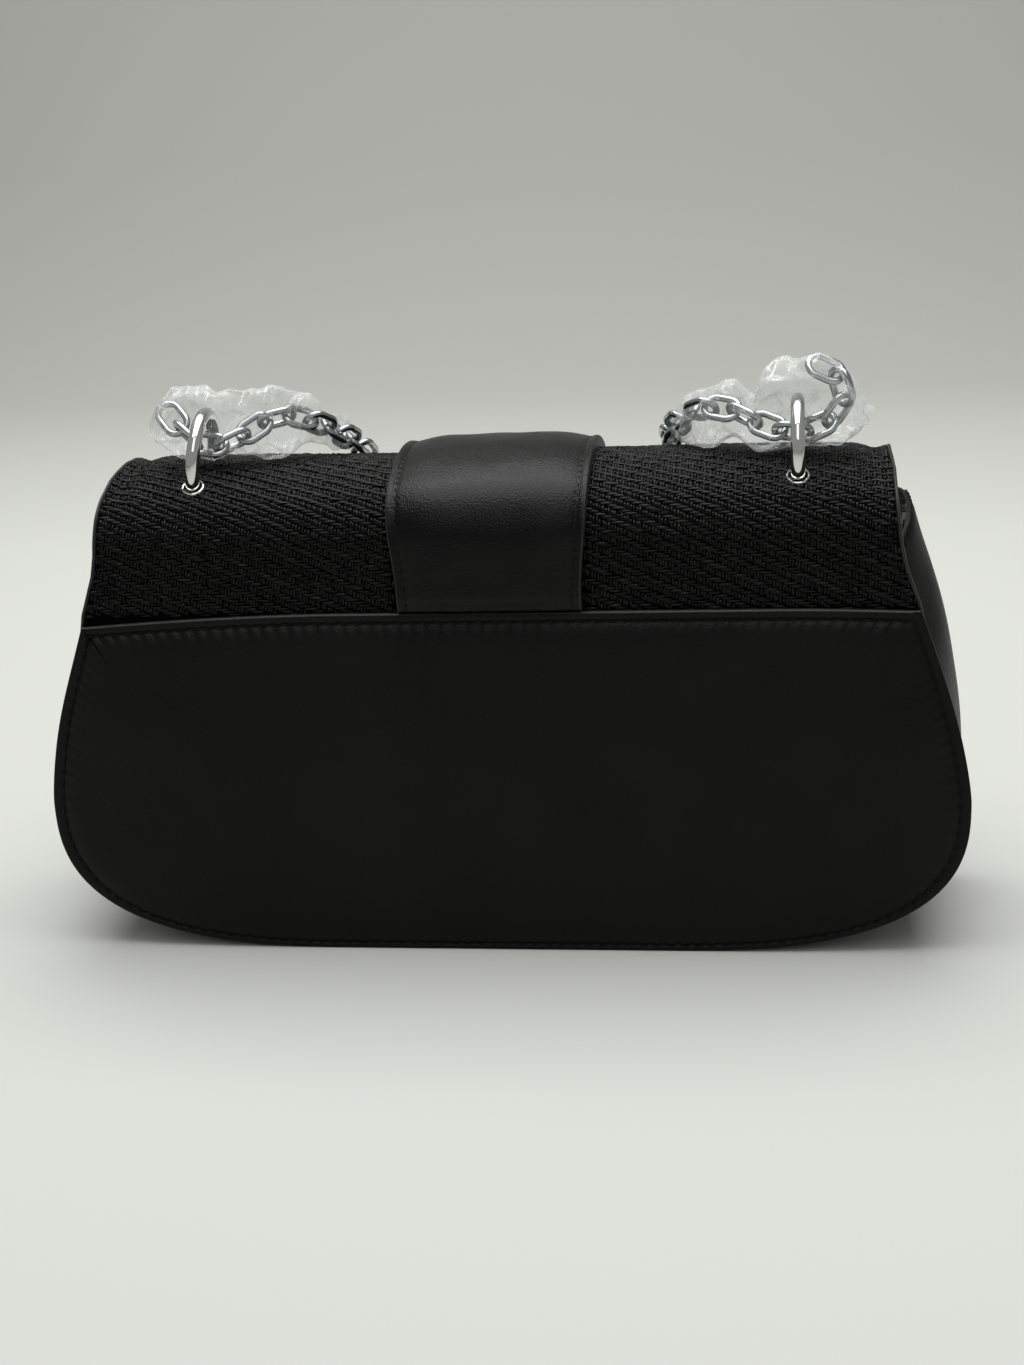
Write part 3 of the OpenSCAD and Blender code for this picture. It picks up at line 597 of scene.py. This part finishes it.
# A point h above the flap's outer face, with the crest's slow unevenness, which fades out round the
# eyelets, and the pull of the edge seam
def flapPoint(x, s, h):
    x, s, h = np.broadcast_arrays(x, s, h)
    y, z, angle = flapPath(s)
    fromEdge = flapHalf(s) - np.abs(x)
    onCrest = ease(s, riseLength + 4, riseLength + foldArc + 8) * (1 - ease(s, frontStart - 24, frontStart))
    pull = -sheet["edgePull"] * np.exp(-((fromEdge - 4.2) / 3.6) ** 2) * (0.2 + 0.8 * onCrest)
    near = sum(np.exp(-((np.abs(x) - sheet["eyeletAcross"]) ** 2 + (s - at) ** 2) / sheet["eyeletRoom"] ** 2)
               for at in sheet["eyeletAt"])
    lift = (0.4 * softField(np.stack([x, s * 0.6], -1), 85, 31) - 0.2) * onCrest * (1 - np.clip(near, 0, 1))
    h = h + pull + lift
    return np.stack([x, y + h * np.cos(angle), z + h * np.sin(angle)], -1)


# Bakes the piece's place into its mesh, the same for the rear half of the flap and the front one
def bendPiece(piece, rear):
    if rear:
        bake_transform(piece)
    else:
        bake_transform(piece)


# Half of a layer of the flap, as a closed shell between two heights over its outer face
def makeFlapLayer(name, rear, outer, inner, inset, material, slot):
    low, high = (sheet["start"], sheet["split"]) if rear else (sheet["split"], sheetEnd - inset)
    rows = int((high - low) / 1.25)
    s = np.linspace(low, high, rows)
    if not rear:
        corner = sheetEnd - sheet["cornerRadius"]
        tail = np.sin(np.linspace(0, math.pi / 2, 40)) * sheet["cornerRadius"]
        s = np.concatenate([np.linspace(low, corner, rows - 28), corner + tail[1:]])
        s = s - inset * ease(s, sheetEnd - 20, sheetEnd)
    share = np.concatenate([[-1, -0.995, -0.985], np.linspace(-0.97, 0.97, 150), [0.985, 0.995, 1]])
    sGrid, cGrid = np.meshgrid(s, share, indexing="ij")
    x = cGrid * (flapHalf(sGrid) - inset)
    made = makeShell(name, flapPoint(x, sGrid, outer), flapPoint(x, sGrid, inner), [material],
                     bluntSides=True)
    bendPiece(made, rear)
    return made


# The cloth layer takes the painted shade of the holes between the floats
cloth = (-sheet["clothFrom"], -sheet["clothTo"], sheet["clothInset"], weaveHoleShade, "weave")
lining = (-sheet["liningFrom"], -sheet["liningTo"], sheet["liningInset"], liningCloth, "lining")
rearCloth = makeFlapLayer("flapClothRear", True, *cloth)
frontCloth = makeFlapLayer("flapClothFront", False, *cloth)
rearLining = makeFlapLayer("flapLiningRear", True, *lining)
frontLining = makeFlapLayer("flapLiningFront", False, *lining)
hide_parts("flap_rear", "flap_top")
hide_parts("flap_front")
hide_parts("flap_lining_rear", "flap_lining_top")
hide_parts("flap_lining_front")
print("flap made")

# ---- floats of the twill: each row's float passes over five warps and starts two warps further than in
# the row before, so that the floats stand in slanting ribs
twill = {"warpPitch": 0.85, "weftPitch": 0.8, "repeat": 10, "step": 2, "over": 5, "underStrap": 25.4,
         "edgeRoom": 1.1, "start": -1.0, "warps": 140, "weftLength": 4.25, "warpSpare": 0.15, "width": 0.68,
         "dip": 0.75}


# One strip for each float, arched across and dipping at its ends. alongX is true for the weft
def floatStrips(centreX, centreS, length, width, alongX, draw, steps, dip):
    count = len(centreX)
    t = np.linspace(-1, 1, steps)[None, :, None]
    b = np.array([-1, 0, 1])[None, None, :]
    spread = lambda amount: draw.normal(0, amount, count)[:, None, None]
    run = t * (length * (1 + draw.uniform(-0.08, 0.1, count)))[:, None, None] / 2
    wide = b * (width * (1 + spread(0.07))) / 2 * (1 - 0.22 * t ** 4)
    slant = spread(0.035) * run
    lift = 0.1 + spread(0.09) + spread(0.08) * b + spread(0.09) * t - dip * np.abs(t) ** 3 - 0.2 * b ** 2
    first = run + spread(0.08)
    second = wide + slant + spread(0.05)
    x = centreX[:, None, None] + (first if alongX else second)
    s = centreS[:, None, None] + (second if alongX else first)
    shade = np.clip(0.45 + 0.24 * draw.normal(size=count) + (0.08 if alongX else -0.1), 0, 1)
    cell = gridFaces(steps, 3)
    return x, s, lift, np.repeat(shade, steps * 3), cell[:, ::-1] if alongX else cell


# All floats on one side of a half of the flap: weft floats where the twill's turn is 0, and two steps of
# short warp floats half a repeat on. Those under the strap or past the edge are left out
def makeFloats(name, rear, side, seed):
    draw = np.random.default_rng(seed)
    low, high = (twill["start"], sheet["split"]) if rear else (sheet["split"], sheetEnd - twill["edgeRoom"])
    warps = np.arange(twill["warps"]) - (0 if side > 0 else twill["warps"])
    firstRow = math.ceil(low / twill["weftPitch"]) - (0 if rear else 4)
    rows = np.arange(firstRow, int(high / twill["weftPitch"]) + 2)
    i, j = np.meshgrid(warps, rows, indexing="ij")
    turn = (i + twill["step"] * j) % twill["repeat"]
    weft, warp = turn == 0, (turn == 5) | (turn == 6)
    half = twill["over"] / 2
    parts = []
    for chosen, alongX in ((weft, True), (warp, False)):
        a, c = i[chosen].astype(float), j[chosen].astype(float)
        if alongX:
            x, s = (a + half) * twill["warpPitch"], (c + 0.5) * twill["weftPitch"]
            length = np.full(len(x), twill["weftLength"])
        else:
            rowsOver = np.where(turn[chosen] == 5, 3, 2)
            x, s = (a + 0.5) * twill["warpPitch"], (c + rowsOver / 2) * twill["weftPitch"]
            length = rowsOver * twill["weftPitch"] + twill["warpSpare"]
        reach = length / 2 if alongX else 0.4
        keep = (np.abs(x) - reach > twill["underStrap"]) | (s > strapEnd)
        keep &= np.abs(x) < flapHalf(s) - twill["edgeRoom"]
        keep &= s < high if rear else (s >= low) & (s + (0.3 if alongX else 1.0) < high + 0.3)
        parts.append(floatStrips(x[keep], s[keep], length[keep], twill["width"], alongX, draw,
                                 6 if alongX else 4, twill["dip"]))
    points, faces, shades, start = [], [], [], 0
    for x, s, lift, shade, cell in parts:
        room = flapHalf(s) - twill["edgeRoom"] + 0.3
        x = np.clip(x, -room, room)
        lift = lift - 0.3 * (s < 0)
        points.append(flapPoint(x, s, lift).reshape(-1, 3))
        size = x.shape[1] * x.shape[2]
        faces.append((cell[None] + start + np.arange(len(x))[:, None, None] * size).reshape(-1, 4))
        shades.append(shade)
        start += x.size
    made = makePiece(name, np.concatenate(points), np.concatenate(faces), [raffia],
                     attributes={"strandShade": np.concatenate(shades)})
    bendPiece(made, rear)


for rear, where in ((True, "Rear"), (False, "Front")):
    for side, hand in ((1, "Right"), (-1, "Left")):
        makeFloats("flapFloats" + where + hand, rear, side, 301 + 2 * rear + (side > 0))
print("floats made")

# ---- painted edge of the flap, a rounded binding round the sides and the front
binding = {"sides": 12, "halfWidth": 0.62, "halfHeight": 1.28, "inset": 0.45, "depth": 1.15, "waver": 0.06}


# Oval section carried along the flap's edge, drawn to a point at both ends
def makeFlapEdge(name, rear, side=1):
    if rear:
        s = np.linspace(sheet["start"], sheet["split"], 90)
        x, away = side * flapHalf(s), np.stack([np.full(90, float(side)), np.zeros(90)], -1)
    else:
        radius = sheet["cornerRadius"]
        sides = np.linspace(sheet["split"], sheetEnd - radius, 70)
        turn = np.linspace(0, math.pi / 2, 30)[1:]
        inner = flapHalf(np.array([sheetEnd - radius]))[0] - radius
        x = np.concatenate([flapHalf(sides), inner + radius * np.cos(turn), np.linspace(inner, 0, 50)[1:]])
        s = np.concatenate([sides, sheetEnd - radius + radius * np.sin(turn), np.full(49, sheetEnd)])
        x, s = np.concatenate([x, -x[-2::-1]]), np.concatenate([s, s[-2::-1]])
        along = np.stack([np.gradient(x), np.gradient(s)], -1)
        along /= np.linalg.norm(along, axis=1, keepdims=True)
        away = np.stack([along[:, 1], -along[:, 0]], -1)
    turn = np.linspace(0, 2 * math.pi, binding["sides"], endpoint=False)
    grow = np.ones((len(x), 1))
    grow[[0, -1]] = 0
    waver = binding["waver"] * softField(np.stack([x, s], -1), 5, 91)[:, None]
    out = -binding["inset"] + grow * binding["halfWidth"] * np.cos(turn)
    h = -binding["depth"] + grow * (binding["halfHeight"] * np.sin(turn) + waver)
    points = flapPoint(x[:, None] + away[:, :1] * out, s[:, None] + away[:, 1:] * out, h)
    made = makePiece(name, points, gridFaces(len(x), binding["sides"], True), [edgePaint], closed=True,
                     weld=True)
    bendPiece(made, rear)


makeFlapEdge("flapEdgeRearRight", True, 1)
makeFlapEdge("flapEdgeRearLeft", True, -1)
makeFlapEdge("flapEdgeFront", False)


edgeStitch = {"pitch": 3.3, "inset": 3.2, "depth": 0.1, "length": 2.3, "width": 0.55}


# Stitches along lines on the flap or the strap: x and s of each, at a height over the flap's outer face
def makeFlapStitches(name, x, s, h, rear, length, width):
    line = flapPoint(x, s, h)
    outs = flapPoint(x, s, h + 1.0) - line
    made = makeStitches(name, line, outs, length, width)
    bendPiece(made, rear)


for side, hand in ((1, "Right"), (-1, "Left")):
    for rear, where in ((True, "Rear"), (False, "Front")):
        low, high = (1.0, sheet["split"] - 0.5) if rear else (sheet["split"] + 1.5, sheetEnd - 36)
        at = np.arange(low, high, edgeStitch["pitch"])
        makeFlapStitches("flapStitches" + where + hand, side * (flapHalf(at) - edgeStitch["inset"]), at,
                         0 * at - edgeStitch["depth"], rear, edgeStitch["length"], edgeStitch["width"])
print("flap edges made")

# ---- centre strap: sewn flat along its edges, padded in the middle, with painted edges and a round tongue
strap = {"seamHalf": 25.6, "crestHalf": 27.8, "start": 0.6, "end": strapEnd, "tongueRadius": 14.0,
         "padReach": 17, "edgeWidth": 0.55, "stitchInset": 2.5, "stitchPitch": 2.6, "stitchHeight": 2.87,
         "stitchLength": 1.9, "stitchWidth": 0.5}
strapInsets = np.array([0.0, 0.0, 0.12, 0.5, 1.0, 1.5, 2.0, 2.5, 3.0, 3.6, 4.4, 5.4, 6.6, 8.0, 9.6, 11.2,
                        13.0, 17])
strapHeights = np.array([0.15, 2.6, 3.1, 3.3, 3.3, 3.2, 3.0, 2.75, 2.95, 3.2, 3.4, 3.6, 3.85, 4.1, 4.3, 4.42,
                         4.48, 4.5])


# Half width of the strap: it widens from the seam to the fold, and its tongue has round corners
def strapHalf(s):
    half = strap["seamHalf"] + (strap["crestHalf"] - strap["seamHalf"]) * ease(s, 4, 34)
    into = np.clip(s - (strap["end"] - strap["tongueRadius"]), 0, strap["tongueRadius"])
    return half - strap["tongueRadius"] + np.sqrt(np.maximum(0, strap["tongueRadius"] ** 2 - into ** 2))


# Half of the strap. Columns stand at strapInsets from each edge, and heights come from strapHeights of
# the nearer of the side edge and the tongue's end
def makeStrap(name, rear):
    low, high = (strap["start"], sheet["split"]) if rear else (sheet["split"], strap["end"])
    reach = strap["padReach"]
    s = np.linspace(low, high, int((high - low) / 0.7))
    if not rear:
        tongue = strap["end"] - strap["tongueRadius"]
        turn = tongue + strap["tongueRadius"] * np.sin(np.linspace(0, math.pi / 2, 44))
        straight = np.arange(low, strap["end"] - reach, 0.8)
        s = np.unique(np.round(np.concatenate([straight, strap["end"] - strapInsets[::-1], turn]), 4))
    half = strapHalf(s)[:, None]
    left = -half + np.minimum(strapInsets[None, :], half * 0.6)
    middle = np.linspace(-1, 1, 18)[None, 1:-1] * (half - np.minimum(reach, half * 0.6))
    x = np.concatenate([left, middle, -left[:, ::-1]], 1)
    sGrid = np.repeat(s[:, None], x.shape[1], 1)
    near = np.minimum(np.minimum(half - np.abs(x), reach), np.clip(strap["end"] - sGrid, 0, reach))
    height = np.interp(near, strapInsets[1:], strapHeights[1:])
    height[:, [0, -1]] = strapHeights[0]
    beat = np.cos(2 * math.pi * sGrid / strap["stitchPitch"])
    height = height - 0.08 * np.exp(-((near - strap["stitchInset"]) / 0.8) ** 2) * beat
    height = height - (height - 1.4) * (1 - ease(sGrid, 0.4, 5.0)) * 0.6
    grain = softField(np.stack([x, sGrid], -1), 16, 41)
    height = height + 0.1 * grain * ease(near, 5, 12)
    top = flapPoint(x, sGrid, height + 0.15)
    bottom = flapPoint(x, sGrid, np.full_like(x, 0.12))
    painted = near.reshape(-1)[gridFaces(*x.shape)].max(1) <= strap["edgeWidth"]
    made = makeShell(name, top, bottom, [strapLeather, edgePaint], painted, bluntSides=True)
    bendPiece(made, rear)
    for side, hand in ((1, "Right"), (-1, "Left")):
        last = high - 0.4 if rear else strap["end"] - strap["tongueRadius"]
        at = np.arange(low + 1.6, last, strap["stitchPitch"])
        makeFlapStitches(name + "Stitches" + hand, side * (strapHalf(at) - strap["stitchInset"]), at,
                         strap["stitchHeight"] - 0.8 * (1 - ease(at, 0.4, 5.0)), rear,
                         strap["stitchLength"], strap["stitchWidth"])
    return made


strapRear = makeStrap("strapRear", True)
strapFront = makeStrap("strapFront", False)
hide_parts("strap_rear", "strap_top")
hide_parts("strap_front")
print("strap made")


# ---- lining of the walls and the gusset
insideOf = {"backDepth": -30.15, "frontDepth": 25.95, "steps": 420, "wave": 0.25, "middleHalf": 60,
            "middleHeight": 55.0, "gussetFrom": -29.15, "gussetTo": 24.95, "gussetDepths": (1.55, 2.3)}
liningInsets = np.array([4.7, 4.7, 9, 16, 26, 36])
liningDepths = np.array([0.0, 0.7, 0.75, 0.75, 0.75, 0.75, 0.75])


# Lining of a wall: a closed sheet from the middle out over its face and back behind, with slow waves
def makeWallLining(name, depth, way, top, replaced):
    stations, _ = edgeSteps(4.8, top, 0, 6, insideOf["steps"], False)
    x, z = wallEdge(stations[None, :], liningInsets[:, None], top + 4.6)
    middleX = np.round(np.clip(x[-1], -insideOf["middleHalf"], insideOf["middleHalf"]) / 6) * 6
    mid = np.stack([middleX, np.full(len(stations), insideOf["middleHeight"])], -1)
    place = np.concatenate([np.stack([x, z], -1), [mid]])
    padding = np.array([0, 0, 0, 0.6, 1, 1, 1])[:, None]
    depths = liningDepths[:, None] + padding * insideOf["wave"] * softField(place, 34, 51)
    place, depths = np.concatenate([[mid], place]), np.concatenate([[0 * depths[0]], depths])
    points = np.stack([place[..., 0], depth + way * depths, place[..., 1]], -1)
    made = makePiece(name, points, gridFaces(len(place), len(stations), True), [liningCloth], closed=True,
                     weld=True)
    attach(made, "root")
    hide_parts(replaced)


makeWallLining("backLining", insideOf["backDepth"], 1, bag["seamHeight"], "back_lining")
makeWallLining("frontLining", insideOf["frontDepth"], -1, bag["frontHeight"], "front_lining")


# Lining of the gusset: a shell between two depths inside it
def makeGussetLining():
    stations, _ = edgeSteps(5, bag["hemHeight"] - 1, 0.02, 4.98, 200)
    u, w = np.meshgrid(stations, np.linspace(0, 1, 24), indexing="ij")
    outer, inner = (gussetPoint(u, w, -depth + 0 * u, insideOf["gussetFrom"], insideOf["gussetTo"])
                    for depth in insideOf["gussetDepths"])
    made = makeShell("gussetLining", outer, inner, [liningCloth])
    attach(made, "root")
    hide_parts("gusset_lining")


makeGussetLining()
print("linings made")

# ---- film sleeves. Sections are x, depth, height above the crest and radius in mm, along the chain's ends
crestZ = bag["crestHeight"]
leftFilm = np.array([[-101.5, -3.0, 9.5, 0.8], [-99.5, -4.0, 10.0, 3.4], [-96.4, -4.4, 12.0, 6.8],
                     [-92.1, -6.4, 12.2, 8.4], [-87.4, -8.6, 12.2, 9.8], [-82.7, -9.8, 12.0, 10.2],
                     [-79.5, -9.0, 11.1, 9.0], [-72.8, -5.6, 10.8, 8.8], [-66.9, -2.5, 11.0, 8.6],
                     [-61.2, 0.8, 11.0, 8.0], [-57.0, 3.6, 10.2, 7.2], [-53.0, 8.0, 8.0, 6.6],
                     [-50.0, 14.5, 4.8, 5.6], [-48.3, 19.5, 2.0, 4.6], [-47.2, 23.5, -0.4, 3.4]])
rightFilm = np.array([[46.9, 25.0, -0.5, 3.4], [48.2, 19.4, 2.2, 5.0], [50.6, 13.0, 5.0, 6.0],
                      [53.6, 7.5, 7.6, 6.8], [57.6, 2.5, 9.6, 7.6], [63.0, -1.5, 10.2, 8.2],
                      [68.2, -3.6, 9.8, 8.6], [72.4, -5.2, 8.8, 8.2], [75.3, -6.5, 10.8, 10.4],
                      [78.2, -8.0, 12.0, 11.6], [82.3, -8.6, 12.6, 12.2], [86.6, -8.6, 13.2, 12.6],
                      [91.0, -7.8, 13.8, 12.8], [95.6, -7.2, 13.0, 11.2], [99.6, -6.5, 11.6, 7.8],
                      [102.4, -6.0, 10.2, 4.4], [104.0, -5.5, 9.2, 1.2]])
# least and atRings are the room that the film keeps from the flap and beside the rings, and soft is how
# gently it is pressed
swingPress = {"angles": (20, 35, 50, 65, 80, 95), "axisY": -14.174 - bag["midShift"], "axisZ": 141.032,
              "soft": 1.6, "least": 0.9, "atRings": 1.5, "ringSpread": 7.5}
sleeve = {"rows": 190, "cols": 130, "flatten": 0.86, "slant": 0.18, "warp": 1.3, "folds": 9, "largeFolds": 7,
          "swell": 0.1, "creaseWidth": 0.22, "fullRadius": 9, "aboveFlap": 0.5, "endsWaver": 1.2}


# How far a point stands outside the flap's rear, and the way out: over the crown it is measured from the
# crown's centre, round the fold from the fold's centre, and below it from the upright face
def outsideFlap(y, z):
    onCrown = np.arctan2(-y, z - fold["crownHeight"]) < math.radians(fold["slope"])
    upright = (z < fold["foldHeight"]) & ~onCrown
    centreY = np.where(onCrown, 0, -fold["foldDepth"])
    centreZ = np.where(onCrown, fold["crownHeight"], np.where(upright, z, fold["foldHeight"]))
    away = np.stack([y - centreY, z - centreZ], -1)
    away[..., 0] = np.where(upright, np.minimum(away[..., 0], -0.01), away[..., 0])
    reach = np.linalg.norm(away, axis=-1)
    return reach - np.where(onCrown, fold["crownRadius"], fold["foldRadius"]), away / reach[..., None]


# Presses the film flat where the flap would meet it as the chain swings back. At each angle the points turn
# about the rings' line, and a distance under the room eases off towards the least one by a falling power
def pressAgainstFlap(points):
    axisY, axisZ, soft = (swingPress[key] for key in ("axisY", "axisZ", "soft"))
    fromRing = np.abs(points[..., 0]) - sheet["eyeletAcross"]
    least = swingPress["least"] + swingPress["atRings"] * np.exp(-(fromRing / swingPress["ringSpread"]) ** 2)
    for turn in np.radians(swingPress["angles"]):
        y, z = points[..., 1] - axisY, points[..., 2] - axisZ
        turnedY = axisY + y * math.cos(turn) - z * math.sin(turn)
        turnedZ = axisZ + y * math.sin(turn) + z * math.cos(turn)
        gap, out = outsideFlap(turnedY, turnedZ)
        room = least + soft
        eased = least + soft * np.exp(np.minimum(gap - room, 0) / soft)
        push = np.where(gap < room, eased - gap, 0)
        y, z = turnedY + push * out[..., 0] - axisY, turnedZ + push * out[..., 1] - axisZ
        points[..., 1] = axisY + y * math.cos(turn) + z * math.sin(turn)
        points[..., 2] = axisZ - y * math.sin(turn) + z * math.cos(turn)


# Crumpled bag of film: sections joined smoothly along the chain. Its folds are triangle waves, each the
# distance to a set of parallel planes, so every crease is a sharp line. creaseAmount is 1 on a crease
def makeSleeve(name, sections, seed, replaced):
    rows, cols = sleeve["rows"], sleeve["cols"]
    t = np.linspace(0, len(sections) - 1, rows)
    known = np.arange(len(sections))
    line = np.stack([np.interp(t, known, sections[:, k]) for k in range(4)], -1)
    kernel = np.hanning(13) / np.hanning(13).sum()
    line = np.stack([np.convolve(np.pad(line[:, k], 6, "edge"), kernel, "valid") for k in range(4)], -1)
    centre, radius = line[:, :3] + (0, 0, crestZ), line[:, 3]
    turn = np.linspace(0, 2 * math.pi, cols, endpoint=False)
    ring = np.stack([sleeve["slant"] * np.cos(turn), sleeve["flatten"] * np.cos(turn), np.sin(turn)], -1)
    plain = centre[:, None, :] + radius[:, None, None] * ring[None]
    draw = np.random.default_rng(seed)
    warp = np.stack([softField(plain, 15, seed + k) for k in range(3)], -1) * sleeve["warp"]
    swell, crease = np.zeros(plain.shape[:2]), np.zeros(plain.shape[:2])
    for k in range(sleeve["folds"]):
        way = draw.normal(size=3)
        way /= np.linalg.norm(way)
        gap = draw.uniform(9, 20) if k < sleeve["largeFolds"] else draw.uniform(4, 6)
        phase = ((plain + warp) @ way) / gap + draw.uniform()
        bend = np.abs(2 * (phase % 1) - 1)
        swell += (bend - 0.5) * gap * sleeve["swell"]
        edge = np.minimum(bend, 1 - bend) * gap / 2
        sharp = np.exp(-(edge / sleeve["creaseWidth"]) ** 2)
        crease = np.maximum(crease, sharp * ease(softField(plain, 9, seed + 20 + k), 0.2, 1.0))
    ends = 1 - ease(np.minimum(t, t[-1] - t), 0.2, 1.4)[:, None]
    scale = np.minimum(radius, sleeve["fullRadius"])[:, None] / sleeve["fullRadius"]
    points = plain + (swell * scale)[..., None] * ring[None]
    points[..., 0] += ends * sleeve["endsWaver"] * softField(plain, 5, seed + 50)
    floor = crestZ - (points[..., 1] ** 2) / 2 / fold["crownRadius"] + sleeve["aboveFlap"]
    points[..., 2] = np.where(points[..., 1] < 16, np.maximum(points[..., 2], floor), points[..., 2])
    pressAgainstFlap(points)
    crease = np.clip(crease + 0.5 * ends * ease(softField(plain, 3, seed + 60), 0.2, 0.9), 0, 1)
    made = makePiece(name, points, gridFaces(rows, cols, True), [film], attributes={"creaseAmount": crease})
    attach(made, "chain")
    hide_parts(replaced)


makeSleeve("sleeveLeft", leftFilm, 61, "sleeve_left")
makeSleeve("sleeveRight", rightFilm, 71, "sleeve_right")
print("film made")

# ---- CAD nodes that stay, with their finishes. The boards show only at their cut edges, which are painted
# as the walls' are
for names, finish in ((("ring_left", "ring_right", "eyelets_left", "eyelets_right", "washers_left",
                        "washers_right", "magnet_flap", "magnet_body"), nickel),
                      (("chain_left", "chain_run", "chain_right"), chainPlate),
                      (("back_board", "front_board"), edgePaint), (("base_board",), liningCloth)):
    for name in names:
        for slot in nodes[name].material_slots:
            slot.link = "OBJECT"
            slot.material = finish

# ---- floor, backdrop and light
# floor is the paper's own colour; backdropShade is the darker colour it turns to further back and up, painted
# shade where less light reaches
stage = {"floor": "#bebfba", "backdropShade": "#a2a39d", "depth": 1400, "curve": 500,
         "height": 1500, "reach": 2600, "front": -1500}


# Floor that curves up into the backdrop: a straight, a quarter circle and a straight, carried across
def makeStage():
    turn = np.linspace(0, math.pi / 2, 40)
    y = np.concatenate([np.linspace(stage["front"], stage["depth"] - stage["curve"], 60),
                        stage["depth"] - stage["curve"] + stage["curve"] * np.sin(turn[1:]),
                        np.full(20, float(stage["depth"]))])
    z = np.concatenate([np.zeros(60), stage["curve"] * (1 - np.cos(turn[1:])),
                        np.linspace(stage["curve"], stage["height"], 21)[1:]])
    x = np.linspace(-stage["reach"], stage["reach"], 30)
    points = np.stack(np.broadcast_arrays(x[None, :], y[:, None], z[:, None]), -1)
    made, shader = newMaterial("studioPaper", stage["floor"], {"Roughness": 0.9, "Specular IOR Level": 0.1})
    where = addNode(made, "ShaderNodeTexCoord")
    parts = addNode(made, "ShaderNodeSeparateXYZ", links={"Vector": where.outputs["Object"]})
    # Painted shade: the colour darkens from floor towards backdropShade between 0.45 and 1.25 m back
    colourBetween(made, shader, parts.outputs["Y"], stage["floor"], stage["backdropShade"], 0.45, 1.25)
    piece = makePiece("studioFloor", points, gridFaces(len(y), len(x)), [made])


makeStage()
# Size in mm, place, power in watts and aim of each lamp
lamps = {"overheadSoftbox": (1100, (0, 60, 1050), 16.0, (0, 60, 0)),
         "backdropLamp": (1300, (-300, 760, 1150), 6.0, (0, 1400, 500)),
         "frontFill": (900, (100, -1100, 1100), 3.0, (0, -60, 0))}
worldLight = {"colour": "#e8e9ea", "strength": 0.38}


# Square soft lamp at a place, facing its aim
def addLamp(name, size, place, power, aim):
    data = bpy.data.lights.new(name, "AREA")
    data.shape, data.size, data.energy = "SQUARE", size * millimetre, power
    made = bpy.data.objects.new(name, data)
    scene.collection.objects.link(made)
    place = np.array(place) * millimetre
    back = place - np.array(aim) * millimetre
    back /= np.linalg.norm(back)
    right = np.cross([0, 1, 0.001], back)
    right /= np.linalg.norm(right)
    made.matrix_world = matrixAt(right, np.cross(back, right), back, place)


for name, values in lamps.items():
    addLamp(name, *values)
world = bpy.data.worlds.new("studio")
world.use_nodes = True
sky = world.node_tree.nodes["Background"]
sky.inputs["Color"].default_value = hexColour(worldLight["colour"])
sky.inputs["Strength"].default_value = worldLight["strength"]
scene.world = world
print("stage and light made")
